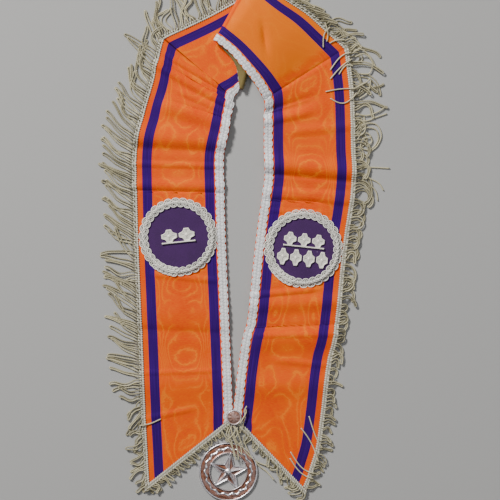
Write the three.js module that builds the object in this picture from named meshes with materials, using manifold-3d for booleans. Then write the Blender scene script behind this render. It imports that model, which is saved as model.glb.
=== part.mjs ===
// Fringed sash of an order, laid flat: two hanging bands joined by a folded neck band, with braid,
// bullion fringe, two badges, a button and a pierced star pendant. Millimetres, +Z up, +Y to the neck.
import * as THREE from 'three';
import { mergeVertices } from 'three/addons/utils/BufferGeometryUtils.js';
import Module from 'manifold-3d';

const wasm = await Module();
wasm.setup();

// Bands of cloth
const ribbonWidth = 101.6;
const panelLength = 385;
const clothDepth = 2.5;
const liningDepth = 1;
const clearance = 0.3;
const seamGap = 0.3;
const creaseHeight = 5;
const shoulderRise = 4;
const neckFoldRadius = 1.2;
const neckSwell = 4;

// Trims
const braidWidth = 10.3;
const braidDepth = 1.4;
const headWidth = 6.2;
const headDepth = 1.2;
const fringeLength = 42;
const lockWidth = 8;
const lockPitch = 15.5;
const lockDepth = 2;
const neckBare = { from: 0.4, to: 0.64 };

// Badges
const badgeDiameter = 77;
const badgeDepth = 1.6;
const badgeBraidDiameter = 85;
const badgeBraidWidth = 8.8;
const badgeBraidDepth = 2.2;
const badgeScallops = 30;
const scallopDepth = 0.9;
const emblemDepth = 1.4;
const emblemBevel = 0.5;
const emblemBarWidth = 1.8;
const petalHalf = 0.3;
const petalNotch = 0.52;
const leftEmblemWidth = 37;
const upperEmblemWidth = 45;
const lowerEmblemWidth = 56;
const emblemHeight = 15;
const lowerEmblemHeight = 18.5;
const emblemGap = 1.6;

// Button, pendant and its rings
const buttonDiameter = 17;
const buttonDepth = 3;
const buttonRim = 1.2;
const pendantDiameter = 64.4;
const pendantHole = 40.2;
const pendantDepth = 2.6;
const pendantFlat = 1.7;
const pendantRim = 1.8;
const pendantBandWidth = 2.6;
const pendantWave = 0.9;
const pendantWaves = 16;
// Room for the fringe between the ring and the corner where the two slanting points meet
const pendantRoom = 11.0362;
const starDiameter = 46;
const starNeck = 19;
const starEdge = 2;
const starFoot = 0.2;
const starDepth = 3.2;
const starTurn = -7.6;
const bossDiameter = 8;
const bossDepth = 4.2;
const eyeDiameter = 5.2;
const eyeWire = 1.2;
const linkWire = 1.2;
const linkWidth = 5.4;

const braidShare = braidWidth / ribbonWidth;
const headShare = headWidth / ribbonWidth;
const laneShares = [0, braidShare, 0.5, 1 - headShare, 1];
const clothTop = clothDepth;
const trimFoot = clothDepth + clearance;
const bandTop = trimFoot + Math.max(braidDepth, headDepth);
const middleLift = 2 * bandTop + 2 * clearance;
const topLift = middleLift + 2 * neckFoldRadius;
const up = new THREE.Vector3(0, 0, 1);

// Left band from the shoulder seam down to its point. up: share of panelLength above the button.
// out: share of ribbonWidth from the button to the middle. skew: how far the outer edge stands above
// the inner edge, and width: flat width, both as shares of ribbonWidth. rise: share of shoulderRise.
const leftSections = [
  { up: 1.0, out: 0.404, skew: 0.498, width: 0.912, rise: 0 },
  { up: 0.926, out: 0.459, skew: 0.24, width: 0.95, rise: 0 },
  { up: 0.837, out: 0.538, skew: 0, width: 0.99, rise: 0 },
  { up: 0.763, out: 0.6, skew: 0, width: 1, rise: 0 },
  { up: 0.62, out: 0.599, skew: 0, width: 1, rise: 0 },
  { up: 0.477, out: 0.583, skew: 0, width: 1, rise: 0 },
  { up: 0.334, out: 0.56, skew: 0, width: 1, rise: 0 },
  { up: 0.206, out: 0.539, skew: 0, width: 1, rise: 0 },
  { up: 0.02, out: 0.511, skew: -0.15, width: 1, rise: 0 },
  { up: -0.06, out: 0.5, skew: -0.45, width: 0.98, rise: 0 },
  { up: -0.117, out: 0.493, skew: -0.714, width: 0.963, rise: 0 },
];

// Right band from its point up to the shoulder seam, with the same columns.
const rightSections = [
  { up: -0.124, out: 0.401, skew: -0.6, width: 0.88, rise: 0 },
  { up: -0.085, out: 0.432, skew: -0.45, width: 0.94, rise: 0 },
  { up: -0.034, out: 0.466, skew: -0.28, width: 1, rise: 0 },
  { up: 0.043, out: 0.504, skew: -0.08, width: 1, rise: 0 },
  { up: 0.111, out: 0.531, skew: 0, width: 1, rise: 0 },
  { up: 0.194, out: 0.579, skew: 0, width: 1, rise: 0 },
  { up: 0.246, out: 0.629, skew: 0, width: 1, rise: 0 },
  { up: 0.334, out: 0.671, skew: 0, width: 1, rise: 0 },
  { up: 0.434, out: 0.707, skew: 0, width: 1, rise: 0 },
  { up: 0.546, out: 0.758, skew: 0, width: 1, rise: 0 },
  { up: 0.609, out: 0.796, skew: 0, width: 1, rise: 0 },
  { up: 0.691, out: 0.83, skew: 0, width: 1, rise: 0 },
  { up: 0.763, out: 0.821, skew: 0, width: 1, rise: 0 },
  { up: 0.897, out: 0.811, skew: 0.22, width: 0.99, rise: 0.4 },
  { up: 0.981, out: 0.785, skew: 0.504, width: 0.968, rise: 1 },
];

// Lines across the neck band, from its inner edge to its outer edge, as shares of ribbonWidth from
// the shoulder height above the button. riseIn and riseOut: shares of the height of the top layer.
const neckSections = {
  topLayer: [
    { inX: 0.2165, inY: -0.184, outX: 1.05, outY: 0.39, riseIn: 0.84, riseOut: 0.2 },
    { inX: 0.092, inY: -0.022, outX: 0.812, outY: 0.596, riseIn: 1, riseOut: 0.6 },
    { inX: -0.043, inY: 0.141, outX: 0.545, outY: 0.766, riseIn: 1, riseOut: 1 },
  ],
  frontFold: { inX: -0.184, inY: 0.254, outX: 0.238, outY: 1.018 },
  middleLayer: [
    { inX: -0.065, inY: 0.02, outX: 0.3, outY: 0.99 },
  ],
  backFold: { inX: 0.06, inY: -0.238, outX: 0.411, outY: 0.942 },
  lowLayer: [
    { inX: 0.043, inY: -0.271, outX: 0.097, outY: 0.78 },
    { inX: 0.016, inY: -0.309, outX: -0.314, outY: 0.562 },
  ],
};

// Creases that cross the hanging bands. up: share of panelLength at the middle. climb: rise of the
// crease from inner to outer edge, and spread: half its width, as shares of ribbonWidth.
// height: share of creaseHeight. from and to: shares of the width between which it is full.
const leftCreases = [
  { up: 0.95, climb: 0.5, spread: 0.05, height: 0.7, from: 0.1, to: 0.9 },
  { up: 0.87, climb: 0.3, spread: 0.09, height: 0.8, from: 0, to: 0.7 },
  { up: 0.79, climb: 0.06, spread: 0.14, height: 0.9, from: 0, to: 1 },
  { up: 0.66, climb: 0.02, spread: 0.06, height: 0.5, from: 0.1, to: 0.9 },
  { up: 0.29, climb: 0.04, spread: 0.2, height: 0.4, from: 0, to: 1 },
  { up: 0.1, climb: -0.05, spread: 0.2, height: 0.45, from: 0, to: 1 },
];
const rightCreases = [
  { up: 0.71, climb: -0.09, spread: 0.1, height: 0.9, from: 0, to: 1 },
  { up: 0.625, climb: -0.06, spread: 0.045, height: 0.45, from: 0.15, to: 0.9 },
  { up: 0.325, climb: 0.05, spread: 0.08, height: 0.5, from: 0, to: 1 },
  { up: 0.225, climb: 0.05, spread: 0.12, height: 0.6, from: 0.2, to: 1 },
  { up: 0.09, climb: 0.03, spread: 0.13, height: 0.45, from: 0, to: 1 },
];

// Fringe along each stretch of edge, walked from the button round the outside. along: share of the
// stretch. lean: degrees from square to the edge towards the walk. curl: further degrees by the tip.
// reach: share of fringeLength.
const fringeLay = {
  point_right: [
    { along: 0, lean: 30, curl: 10, reach: 0.12 },
    { along: 0.5, lean: 20, curl: 0, reach: 0.2 },
    { along: 1, lean: 10, curl: -20, reach: 0.28 },
  ],
  right: [
    { along: 0, lean: 10, curl: 40, reach: 0.2 },
    { along: 0.4, lean: 20, curl: 60, reach: 0.25 },
    { along: 0.6, lean: 10, curl: -60, reach: 0.5 },
    { along: 0.8, lean: -10, curl: 50, reach: 0.7 },
    { along: 1, lean: 0, curl: -40, reach: 0.55 },
  ],
  neck: [
    { along: 0, lean: 0, curl: -30, reach: 0.6 },
    { along: 0.42, lean: 5, curl: -10, reach: 0.7 },
    { along: 0.5, lean: -5, curl: 10, reach: 0.85 },
    { along: 1, lean: -8, curl: 15, reach: 0.9 },
  ],
  left: [
    { along: 0, lean: -35, curl: -10, reach: 0.85 },
    { along: 0.25, lean: -38, curl: -5, reach: 0.95 },
    { along: 0.62, lean: -40, curl: 8, reach: 0.95 },
    { along: 0.76, lean: -25, curl: 10, reach: 0.7 },
    { along: 0.86, lean: 30, curl: 25, reach: 0.35 },
    { along: 1, lean: 40, curl: 10, reach: 0.35 },
  ],
  point_left: [
    { along: 0, lean: 10, curl: 20, reach: 0.28 },
    { along: 0.5, lean: -10, curl: 10, reach: 0.17 },
    { along: 0.7, lean: -15, curl: 10, reach: 0.09 },
    { along: 1, lean: -20, curl: 10, reach: 0.12 },
  ],
};

// Places from the button, as shares of panelLength and ribbonWidth, and tilt in degrees
const badgePlaces = {
  left: { up: 0.514, out: -0.603, tilt: 6 },
  right: { up: 0.4814, out: 0.751, tilt: -6 },
};
// Place of the pendant beside the button, as a share of ribbonWidth, and how far above its centre
// two lines along the slanting points that touch it would cross, as a share of its radius
const pendantPlace = { out: -0.062, touch: 1.25 };

// Mixes the rows of a table at a place between two of them
function mixRows(rows, key, place) {
  let next = rows.findIndex((row) => row[key] >= place);
  if (next === -1) next = rows.length - 1;
  const low = rows[Math.max(next - 1, 0)];
  const high = rows[next];
  const span = high[key] - low[key];
  const part = span > 0 ? (place - low[key]) / span : 0;
  const mixed = {};
  for (const name of Object.keys(high)) mixed[name] = THREE.MathUtils.lerp(low[name], high[name], part);
  return mixed;
}

// A crease is a smooth ridge along a slanting line, which dies out past its two ends
function creaseRise(creases, point, share) {
  let rise = 0;
  for (const crease of creases) {
    const line = crease.up * panelLength + crease.climb * ribbonWidth * (share - 0.5);
    const off = (point.y - line) / (crease.spread * ribbonWidth);
    const past = Math.max(crease.from - share, share - crease.to, 0) / 0.12;
    rise += creaseHeight * crease.height * Math.exp(-off * off - past * past);
  }
  return rise;
}

// A band is a run of rows, each a line across the cloth from its inner to its outer edge. Its under
// side is the surface through them, and its face side looks along the normal.
class Band {
  constructor(rows, relief) {
    this.rows = rows;
    this.relief = relief;
    this.last = rows.length - 1;
  }

  point(index, share) {
    const row = this.rows[index];
    const point = row.inner.clone().lerp(row.outer, share);
    point.z += this.relief(point, share, row);
    return point;
  }

  normal(index, share) {
    const row = this.rows[index];
    if (row.face) return row.face.clone();
    const before = this.point(Math.max(index - 1, 0), share);
    const after = this.point(Math.min(index + 1, this.last), share);
    const nearer = this.point(index, Math.max(share - 0.03, 0));
    const farther = this.point(index, Math.min(share + 0.03, 1));
    return farther.sub(nearer).cross(after.sub(before)).normalize();
  }

  raised(index, share, height) {
    return this.point(index, share).addScaledVector(this.normal(index, share), height);
  }

  // A point at a place between rows, such as 2.5, for what is set along an edge
  between(place, share, height) {
    const low = Math.min(Math.floor(place), this.last - 1);
    const start = this.raised(low, share, height);
    return start.lerp(this.raised(low + 1, share, height), place - low);
  }
}

// Rows of a hanging band: a smooth middle line, with the skew, width and rise of the table eased
// from section to section. side is 1 for the right band and -1 for the left one.
function panelRows(sections, side, count) {
  const middles = sections.map(
    (row) => new THREE.Vector3(side * row.out * ribbonWidth, row.up * panelLength, 0),
  );
  const path = new THREE.CatmullRomCurve3(middles, false, 'centripetal');
  const rows = [];
  for (let step = 0; step <= count; step += 1) {
    const knot = path.getUtoTmapping(step / count) * (sections.length - 1);
    const low = Math.min(Math.floor(knot), sections.length - 2);
    const part = THREE.MathUtils.smoothstep(knot - low, 0, 1);
    const blend = (name) => THREE.MathUtils.lerp(sections[low][name], sections[low + 1][name], part);
    const middle = path.getPoint(knot / (sections.length - 1));
    const walk = path.getTangent(knot / (sections.length - 1));
    const outward = new THREE.Vector3(walk.y, -walk.x, 0);
    const half = outward.multiplyScalar((ribbonWidth * blend('width')) / 2);
    half.addScaledVector(walk, (side * ribbonWidth * blend('skew')) / 2);
    const inner = middle.clone().sub(half);
    inner.z = shoulderRise * blend('rise');
    rows.push({ inner, outer: middle.clone().add(half), face: null });
  }
  return rows;
}

// Adds a row one trim's width inside the slanting end of a band, where its other trims stop
function addEndRow(rows, atStart) {
  const end = atStart ? rows[0] : rows[rows.length - 1];
  const inside = atStart ? rows[2] : rows[rows.length - 3];
  const line = end.outer.clone().sub(end.inner).setZ(0).normalize();
  const across = inside.inner.clone().add(inside.outer).sub(end.inner).sub(end.outer).multiplyScalar(0.5);
  const distance = Math.abs(across.x * line.y - across.y * line.x);
  const part = (headWidth + 2 * clearance) / distance;
  const row = {
    inner: end.inner.clone().lerp(inside.inner, part),
    outer: end.outer.clone().lerp(inside.outer, part),
    face: null,
  };
  if (atStart) rows.splice(1, 1, row);
  else rows.splice(rows.length - 2, 1, row);
}

// Turns a fold line into rows round a half circle, from the layer above to the layer below
function foldRows(fold, lowLift, radius, aside, faceOut, steps) {
  const rows = [];
  for (let step = 0; step <= steps; step += 1) {
    const turn = (Math.PI * step) / steps;
    const shift = aside.clone().multiplyScalar(radius * Math.sin(turn));
    shift.z = lowLift + radius + radius * Math.cos(turn);
    const face = aside.clone().multiplyScalar(Math.sin(turn)).addScaledVector(up, Math.cos(turn));
    rows.push({
      inner: fold.inner.clone().add(shift),
      outer: fold.outer.clone().add(shift),
      face: faceOut ? face : face.negate(),
    });
  }
  return rows;
}

// Fills a run of lines with smooth rows, leaving out its two ends
function smoothRows(lines, count) {
  const inner = new THREE.CatmullRomCurve3(lines.map((line) => line.inner), false, 'centripetal');
  const outer = new THREE.CatmullRomCurve3(lines.map((line) => line.outer), false, 'centripetal');
  const rows = [];
  for (let step = 1; step < count; step += 1) {
    rows.push({ inner: inner.getPoint(step / count), outer: outer.getPoint(step / count), face: null });
  }
  return rows;
}

// The neck band: from the right seam over the top layer, round the front fold into the hidden
// middle layer, round the back fold, and along the low layer to the left seam
function neckRows(rightSeam, leftSeam) {
  const place = (x, y, z) => new THREE.Vector3(x * ribbonWidth, panelLength + y * ribbonWidth, z);
  const line = (row, liftIn, liftOut) => ({
    inner: place(row.inX, row.inY, liftIn),
    outer: place(row.outX, row.outY, liftOut),
  });
  const aside = (fold, side) => {
    const along = fold.outer.clone().sub(fold.inner).normalize();
    return new THREE.Vector3(side * along.y, -side * along.x, 0);
  };
  const front = line(neckSections.frontFold, 0, 0);
  const back = line(neckSections.backFold, 0, 0);
  const frontRows = foldRows(front, middleLift, neckFoldRadius, aside(front, -1), true, 6);
  const backRows = foldRows(back, 0, middleLift / 2, aside(back, 1), false, 6);
  const top = neckSections.topLayer.map((row) => line(row, row.riseIn * topLift, row.riseOut * topLift));
  const middle = neckSections.middleLayer.map((row) => line(row, middleLift, middleLift));
  const low = neckSections.lowLayer.map((row) => line(row, 0, 0));
  const start = { inner: rightSeam.inner.clone(), outer: rightSeam.outer.clone(), face: up };
  const end = { inner: leftSeam.inner.clone(), outer: leftSeam.outer.clone(), face: up };
  const topRows = smoothRows([start, ...top, frontRows[0]], 12);
  const middleRows = smoothRows([frontRows.at(-1), ...middle, backRows[0]], 4);
  const lowRows = smoothRows([backRows.at(-1), ...low, end], 7);
  for (const row of topRows) row.swell = true;
  for (const row of middleRows) row.face = up.clone().negate();
  return [start, ...topRows, ...frontRows, ...middleRows, ...backRows, ...lowRows, end];
}

// Moves the end row of a band a little way along it, so that a seam has its gap
function openSeam(rows, atStart) {
  const end = atStart ? rows[0] : rows[rows.length - 1];
  const next = atStart ? rows[1] : rows[rows.length - 2];
  for (const edge of ['inner', 'outer']) {
    const gap = seamGap / end[edge].distanceTo(next[edge]);
    end[edge] = end[edge].clone().lerp(next[edge], gap);
  }
}

// Puts triangles into a geometry, with shared vertices
function solidFrom(positions, faces) {
  const geometry = new THREE.BufferGeometry();
  geometry.setAttribute('position', new THREE.Float32BufferAttribute(positions, 3));
  geometry.setIndex(faces);
  return geometry;
}

// Closes two grids of points, one above the other, into one wall
function closeGrids(above, below) {
  const rows = above.length;
  const columns = above[0].length;
  const positions = [];
  for (const grid of [above, below]) {
    for (const row of grid) for (const point of row) positions.push(point.x, point.y, point.z);
  }
  const at = (i, j, level) => level * rows * columns + i * columns + j;
  const faces = [];
  const quad = (a, b, c, d) => faces.push(a, b, c, a, c, d);
  for (let i = 0; i < rows - 1; i += 1) {
    for (let j = 0; j < columns - 1; j += 1) {
      quad(at(i, j, 0), at(i, j + 1, 0), at(i + 1, j + 1, 0), at(i + 1, j, 0));
      quad(at(i, j, 1), at(i + 1, j, 1), at(i + 1, j + 1, 1), at(i, j + 1, 1));
    }
    const outer = columns - 1;
    quad(at(i, 0, 1), at(i, 0, 0), at(i + 1, 0, 0), at(i + 1, 0, 1));
    quad(at(i, outer, 0), at(i, outer, 1), at(i + 1, outer, 1), at(i + 1, outer, 0));
  }
  const end = rows - 1;
  for (let j = 0; j < columns - 1; j += 1) {
    quad(at(0, j, 1), at(0, j + 1, 1), at(0, j + 1, 0), at(0, j, 0));
    quad(at(end, j, 0), at(end, j + 1, 0), at(end, j + 1, 1), at(end, j, 1));
  }
  return solidFrom(positions, faces);
}

// A wall that follows a band between two heights over the shares given
function bandWall(band, shares, low, tops, first = 0, last = band.last) {
  const above = [];
  const below = [];
  for (let i = first; i <= last; i += 1) {
    above.push(shares.map((share, j) => band.raised(i, share, tops[j])));
    below.push(shares.map((share) => band.raised(i, share, low)));
  }
  return closeGrids(above, below);
}

// Joins closed geometries into one solid
function fuse(geometries) {
  const toSolid = (geometry) => {
    const bare = geometry.clone();
    bare.deleteAttribute('normal');
    bare.deleteAttribute('uv');
    const merged = mergeVertices(bare, 1e-4);
    return new wasm.Manifold(new wasm.Mesh({
      numProp: 3,
      vertProperties: new Float32Array(merged.attributes.position.array),
      triVerts: new Uint32Array(merged.index.array),
    }));
  };
  let whole = toSolid(geometries[0]);
  for (const geometry of geometries.slice(1)) whole = whole.add(toSolid(geometry));
  const mesh = whole.getMesh();
  return solidFrom(Array.from(mesh.vertProperties), Array.from(mesh.triVerts));
}

const sash = new THREE.Group();

function addNode(name, geometry, finish) {
  const mesh = new THREE.Mesh(geometry, new THREE.MeshStandardMaterial(finish));
  mesh.name = name;
  sash.add(mesh);
  return mesh;
}

const finishes = {
  ribbon: { color: 0xf56a0c, roughness: 0.6, metalness: 0 },
  lining: { color: 0xb79f55, roughness: 0.4, metalness: 0 },
  braid: { color: 0xd9d8dc, roughness: 0.5, metalness: 0.3 },
  fringe: { color: 0xc9c3a4, roughness: 0.6, metalness: 0.1 },
  badge: { color: 0x3a1c5c, roughness: 0.9, metalness: 0 },
  emblem: { color: 0xe6dfc8, roughness: 0.3, metalness: 0.9 },
  button: { color: 0xa8705c, roughness: 0.3, metalness: 0.9 },
  pendant: { color: 0xc9b4ae, roughness: 0.2, metalness: 1 },
};

// The three bands of cloth
const rightBandRows = panelRows(rightSections, 1, 26);
const leftBandRows = panelRows(leftSections, -1, 26);
addEndRow(rightBandRows, true);
addEndRow(leftBandRows, false);
const rightSeam = rightBandRows.at(-1);
const leftSeam = leftBandRows[0];
const neckBandRows = neckRows(rightSeam, leftSeam);
openSeam(neckBandRows, true);
openSeam(neckBandRows, false);
rightSeam.face = up;
leftSeam.face = up;

const swellAt = (share) => neckSwell * Math.sin(Math.PI * share) ** 2;
const bands = {
  right: new Band(rightBandRows, (point, share) => creaseRise(rightCreases, point, share)),
  neck: new Band(neckBandRows, (point, share, row) => (row.swell ? swellAt(share) : 0)),
  left: new Band(leftBandRows, (point, share) => creaseRise(leftCreases, point, share)),
};

const everyTop = (height) => laneShares.map(() => height);
addNode('ribbon_right', bandWall(bands.right, laneShares, 0, everyTop(clothTop)), finishes.ribbon);
addNode('ribbon_left', bandWall(bands.left, laneShares, 0, everyTop(clothTop)), finishes.ribbon);
const faceFoot = liningDepth + clearance;
addNode('ribbon_neck', bandWall(bands.neck, laneShares, faceFoot, everyTop(clothTop)), finishes.ribbon);
addNode('lining_neck', bandWall(bands.neck, laneShares, 0, everyTop(liningDepth)), finishes.lining);

// The flat braid along the inner edge, thickest along its middle
const braidShares = [0, braidShare / 2, braidShare];
const braidTops = [0.6, 1, 0.6].map((part) => trimFoot + part * braidDepth);
const trimSpans = {
  right: [1, bands.right.last],
  neck: [0, bands.neck.last],
  left: [0, bands.left.last - 1],
};
for (const [name, span] of Object.entries(trimSpans)) {
  addNode(`braid_${name}`, bandWall(bands[name], braidShares, trimFoot, braidTops, ...span), finishes.braid);
}

// One lock of fringe: a tapering strip of four sections that leaves the head and drops to the floor
function lock(root, square, walk, lay) {
  const rootPart = 0.05;
  const sections = [
    { at: -rootPart, width: 0.8, depth: 0.7, fall: 0 },
    { at: rootPart, width: 0.8, depth: 0.7, fall: 0 },
    { at: 0.55, width: 0.85, depth: 1, fall: 0.75 },
    { at: 1, width: 0.45, depth: 1, fall: 1 },
  ];
  const point = root.clone().addScaledVector(square, sections[0].at * fringeLength);
  const above = [];
  const below = [];
  let last = sections[0].at;
  for (const section of sections) {
    const atRoot = section.at <= rootPart;
    const turn = atRoot ? 0 : lay.lean + lay.curl * section.at;
    const way = square.clone().applyAxisAngle(up, THREE.MathUtils.degToRad(turn));
    const scale = atRoot ? fringeLength : fringeLength * lay.reach;
    point.addScaledVector(way, (section.at - last) * scale);
    last = section.at;
    const half = (lockWidth * section.width) / 2;
    const depth = section.depth * (atRoot ? headDepth : lockDepth);
    const middle = THREE.MathUtils.lerp(root.z, depth / 2, section.fall);
    const sideways = atRoot ? walk.clone() : new THREE.Vector3(-way.y, way.x, 0);
    sideways.multiplyScalar(half);
    const lift = new THREE.Vector3(0, 0, depth / 2);
    const centre = new THREE.Vector3(point.x, point.y, middle);
    above.push([-1, 1].map((sign) => centre.clone().addScaledVector(sideways, -sign).add(lift)));
    below.push([-1, 1].map((sign) => centre.clone().addScaledVector(sideways, -sign).sub(lift)));
  }
  return closeGrids(above, below);
}

// Places along a stretch of edge one lock pitch apart, with the way that is square to the edge
function edgePlaces(band, first, last, margin) {
  const height = trimFoot + headDepth / 2;
  const path = [];
  for (let i = first; i <= last; i += 1) path.push(band.raised(i, 1, height));
  const curve = new THREE.CatmullRomCurve3(path, false, 'centripetal');
  const length = curve.getLength();
  const count = Math.max(Math.round((length - 2 * margin) / lockPitch), 1);
  const places = [];
  for (let step = 0; step <= count; step += 1) {
    const along = (margin + (step * (length - 2 * margin)) / count) / length;
    const walk = curve.getTangentAt(along);
    const square = new THREE.Vector3(walk.y, -walk.x, 0).normalize();
    places.push({ along, root: curve.getPointAt(along), square, walk });
  }
  return places;
}

// A fringe is its flat head, sewn on the edge of the cloth, with the locks fused to it. The neck
// band has no locks where its edge is folded away inside.
function fringe(name, band, span, lowShare) {
  const headTop = trimFoot + headDepth;
  const pieces = [bandWall(band, [lowShare, 1], trimFoot, [headTop, headTop], ...span)];
  for (const place of edgePlaces(band, ...span, lockWidth)) {
    const folded = place.along > neckBare.from && place.along < neckBare.to;
    if (name === 'neck' && folded) continue;
    pieces.push(lock(place.root, place.square, place.walk, mixRows(fringeLay[name], 'along', place.along)));
  }
  addNode(`fringe_${name}`, fuse(pieces), finishes.fringe);
}

for (const [name, span] of Object.entries(trimSpans)) fringe(name, bands[name], span, 1 - headShare);

const pointSteps = 8;

// The head along the slanting end of a hanging band lies on the last strip of its cloth
function pointBand(band, atStart) {
  const end = atStart ? 0 : band.last;
  const inside = atStart ? 1 : band.last - 1;
  const part = headWidth / (headWidth + 2 * clearance);
  const rows = [];
  const clear = (buttonDiameter * 0.5) / ribbonWidth;
  for (let step = 0; step <= pointSteps; step += 1) {
    const walked = THREE.MathUtils.lerp(clear, 1, step / pointSteps);
    const share = atStart ? walked : 1 - walked + clear;
    const outer = band.point(end, share);
    rows.push({ inner: outer.clone().lerp(band.point(inside, share), part), outer, face: up });
  }
  return new Band(rows, () => 0);
}

fringe('point_right', pointBand(bands.right, true), [0, pointSteps], 0);
fringe('point_left', pointBand(bands.left, false), [0, pointSteps], 0);

// The height at which a flat round thing rests on the bands under it
function restHeight(centre, radius, depth) {
  let height = 0;
  for (const band of [bands.left, bands.right]) {
    for (let place = 0; place <= band.last; place += 0.2) {
      for (let share = 0; share <= 1; share += 0.04) {
        const point = band.between(place, share, depth);
        const off = Math.hypot(point.x - centre.x, point.y - centre.y);
        if (off <= radius) height = Math.max(height, point.z);
      }
    }
  }
  return height + clearance;
}

// A ring of scalloped braid with a flat foot, as a closed grid round its centre
function scallopedRing() {
  const steps = badgeScallops * 2;
  const outer = badgeBraidDiameter / 2;
  const inner = outer - badgeBraidWidth;
  const positions = [];
  const faces = [];
  for (let step = 0; step < steps; step += 1) {
    const angle = (2 * Math.PI * step) / steps;
    const dip = step % 2 === 0 ? 0 : scallopDepth;
    const corners = [
      [outer - dip, 0],
      [outer - dip - badgeBraidWidth * 0.2, badgeBraidDepth],
      [inner + dip + badgeBraidWidth * 0.2, badgeBraidDepth],
      [inner + dip, 0],
    ];
    for (const [radius, z] of corners) {
      positions.push(radius * Math.cos(angle), radius * Math.sin(angle), z);
    }
    const next = (step + 1) % steps;
    for (let side = 0; side < 4; side += 1) {
      const a = step * 4 + side;
      const b = next * 4 + side;
      const c = next * 4 + ((side + 1) % 4);
      const d = step * 4 + ((side + 1) % 4);
      faces.push(a, b, c, a, c, d);
    }
  }
  return solidFrom(positions, faces);
}

// A cast ornament: four blunt petals with a notch between each two, and bevelled edges
function ornament(width, height) {
  const half = width / 2 - emblemBevel;
  const tall = height / 2 - emblemBevel;
  const quarter = [[1, petalHalf], [petalNotch, petalNotch], [petalHalf, 1]];
  const corners = [];
  for (let turn = 0; turn < 4; turn += 1) {
    for (const [x, y] of quarter) {
      const [a, b] = [[x, y], [-y, x], [-x, -y], [y, -x]][turn];
      corners.push(new THREE.Vector2(a * half, b * tall));
    }
  }
  const shape = new THREE.Shape(corners);
  return new THREE.ExtrudeGeometry(shape, {
    depth: emblemDepth - emblemBevel,
    bevelEnabled: true,
    bevelThickness: emblemBevel,
    bevelSize: emblemBevel,
    bevelSegments: 1,
  });
}

// Makes the back of a bevelled extrusion flat
function flattenBack(geometry) {
  const position = geometry.attributes.position;
  for (let i = 0; i < position.count; i += 1) position.setZ(i, Math.max(position.getZ(i), 0));
  return geometry;
}

// A row of ornaments side by side, standing on a bar that joins them
function barredRow(count, width) {
  const each = (width - emblemGap * (count - 1)) / count;
  const bar = new THREE.BoxGeometry(width, emblemBarWidth, emblemDepth);
  bar.translate(0, -emblemHeight / 2 - emblemBarWidth / 2 + emblemBevel * 2, emblemDepth / 2);
  const pieces = [bar];
  for (let index = 0; index < count; index += 1) {
    const piece = ornament(each, emblemHeight);
    piece.translate((index - (count - 1) / 2) * (each + emblemGap), 0, 0);
    pieces.push(piece);
  }
  return fuse(pieces);
}

function placeOnBadge(mesh, badge, lift, x, y) {
  const turn = THREE.MathUtils.degToRad(badge.tilt);
  mesh.position.set(
    badge.centre.x + x * Math.cos(turn) - y * Math.sin(turn),
    badge.centre.y + x * Math.sin(turn) + y * Math.cos(turn),
    badge.centre.z + lift,
  );
  mesh.rotation.z = turn;
}

// The two badges: a covered disc on the cloth, and scalloped braid round its rim
const badges = {};
for (const [side, place] of Object.entries(badgePlaces)) {
  const centre = new THREE.Vector3(place.out * ribbonWidth, place.up * panelLength, 0);
  centre.z = restHeight(centre, badgeDiameter / 2, clothTop);
  badges[side] = { centre, tilt: place.tilt };
  const radius = badgeDiameter / 2;
  const profile = [[0, 0], [radius, 0], [radius, badgeDepth], [0, badgeDepth]];
  const disc = new THREE.LatheGeometry(profile.map(([r, z]) => new THREE.Vector2(r, z)), 36);
  const cover = addNode(`badge_disc_${side}`, disc.rotateX(Math.PI / 2), finishes.badge);
  placeOnBadge(cover, badges[side], 0, 0, 0);
  const ring = addNode(`badge_braid_${side}`, scallopedRing(), finishes.braid);
  placeOnBadge(ring, badges[side], badgeDepth + clearance, 0, 0);
}

// The cast ornaments: two on a bar at the left, three on a bar over a row of four at the right
const emblemLift = badgeDepth + clearance;
const leftRow = addNode('emblem_left', barredRow(2, leftEmblemWidth), finishes.emblem);
placeOnBadge(leftRow, badges.left, emblemLift, 0, emblemBarWidth);
const upperRow = addNode('emblem_upper', barredRow(3, upperEmblemWidth), finishes.emblem);
const upperShift = emblemHeight / 2 + emblemBarWidth;
placeOnBadge(upperRow, badges.right, emblemLift, 0, upperShift);
const lowerEach = (lowerEmblemWidth - 3 * emblemGap) / 4;
const lowerShift = emblemGap + emblemBarWidth + lowerEmblemHeight / 2 - upperShift + emblemHeight / 2;
for (let index = 0; index < 4; index += 1) {
  const shape = ornament(lowerEach, lowerEmblemHeight);
  const single = addNode(`emblem_lower_${index + 1}`, shape, finishes.emblem);
  placeOnBadge(single, badges.right, emblemLift, (index - 1.5) * (lowerEach + emblemGap), -lowerShift);
}
sash.traverse((mesh) => {
  if (mesh.isMesh && mesh.name.startsWith('emblem')) flattenBack(mesh.geometry);
});

// The button: a low dome with a raised rim and a flat back, over the inner corners of both bands
const buttonRadius = buttonDiameter / 2;
const buttonProfile = [
  [0, 0],
  [buttonRadius - buttonRim / 2, 0],
  [buttonRadius, buttonDepth / 4],
  [buttonRadius - buttonRim / 4, buttonDepth * 0.8],
  [buttonRadius - buttonRim, buttonDepth * 0.7],
  [buttonRadius * 0.5, buttonDepth * 0.95],
  [0, buttonDepth],
];
const buttonShape = new THREE.LatheGeometry(buttonProfile.map(([r, z]) => new THREE.Vector2(r, z)), 20);
const button = addNode('button', buttonShape.rotateX(Math.PI / 2), finishes.button);
const buttonCentre = new THREE.Vector3(0, 0, 0);
button.position.set(0, 0, restHeight(buttonCentre, buttonRadius, bandTop));

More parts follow.
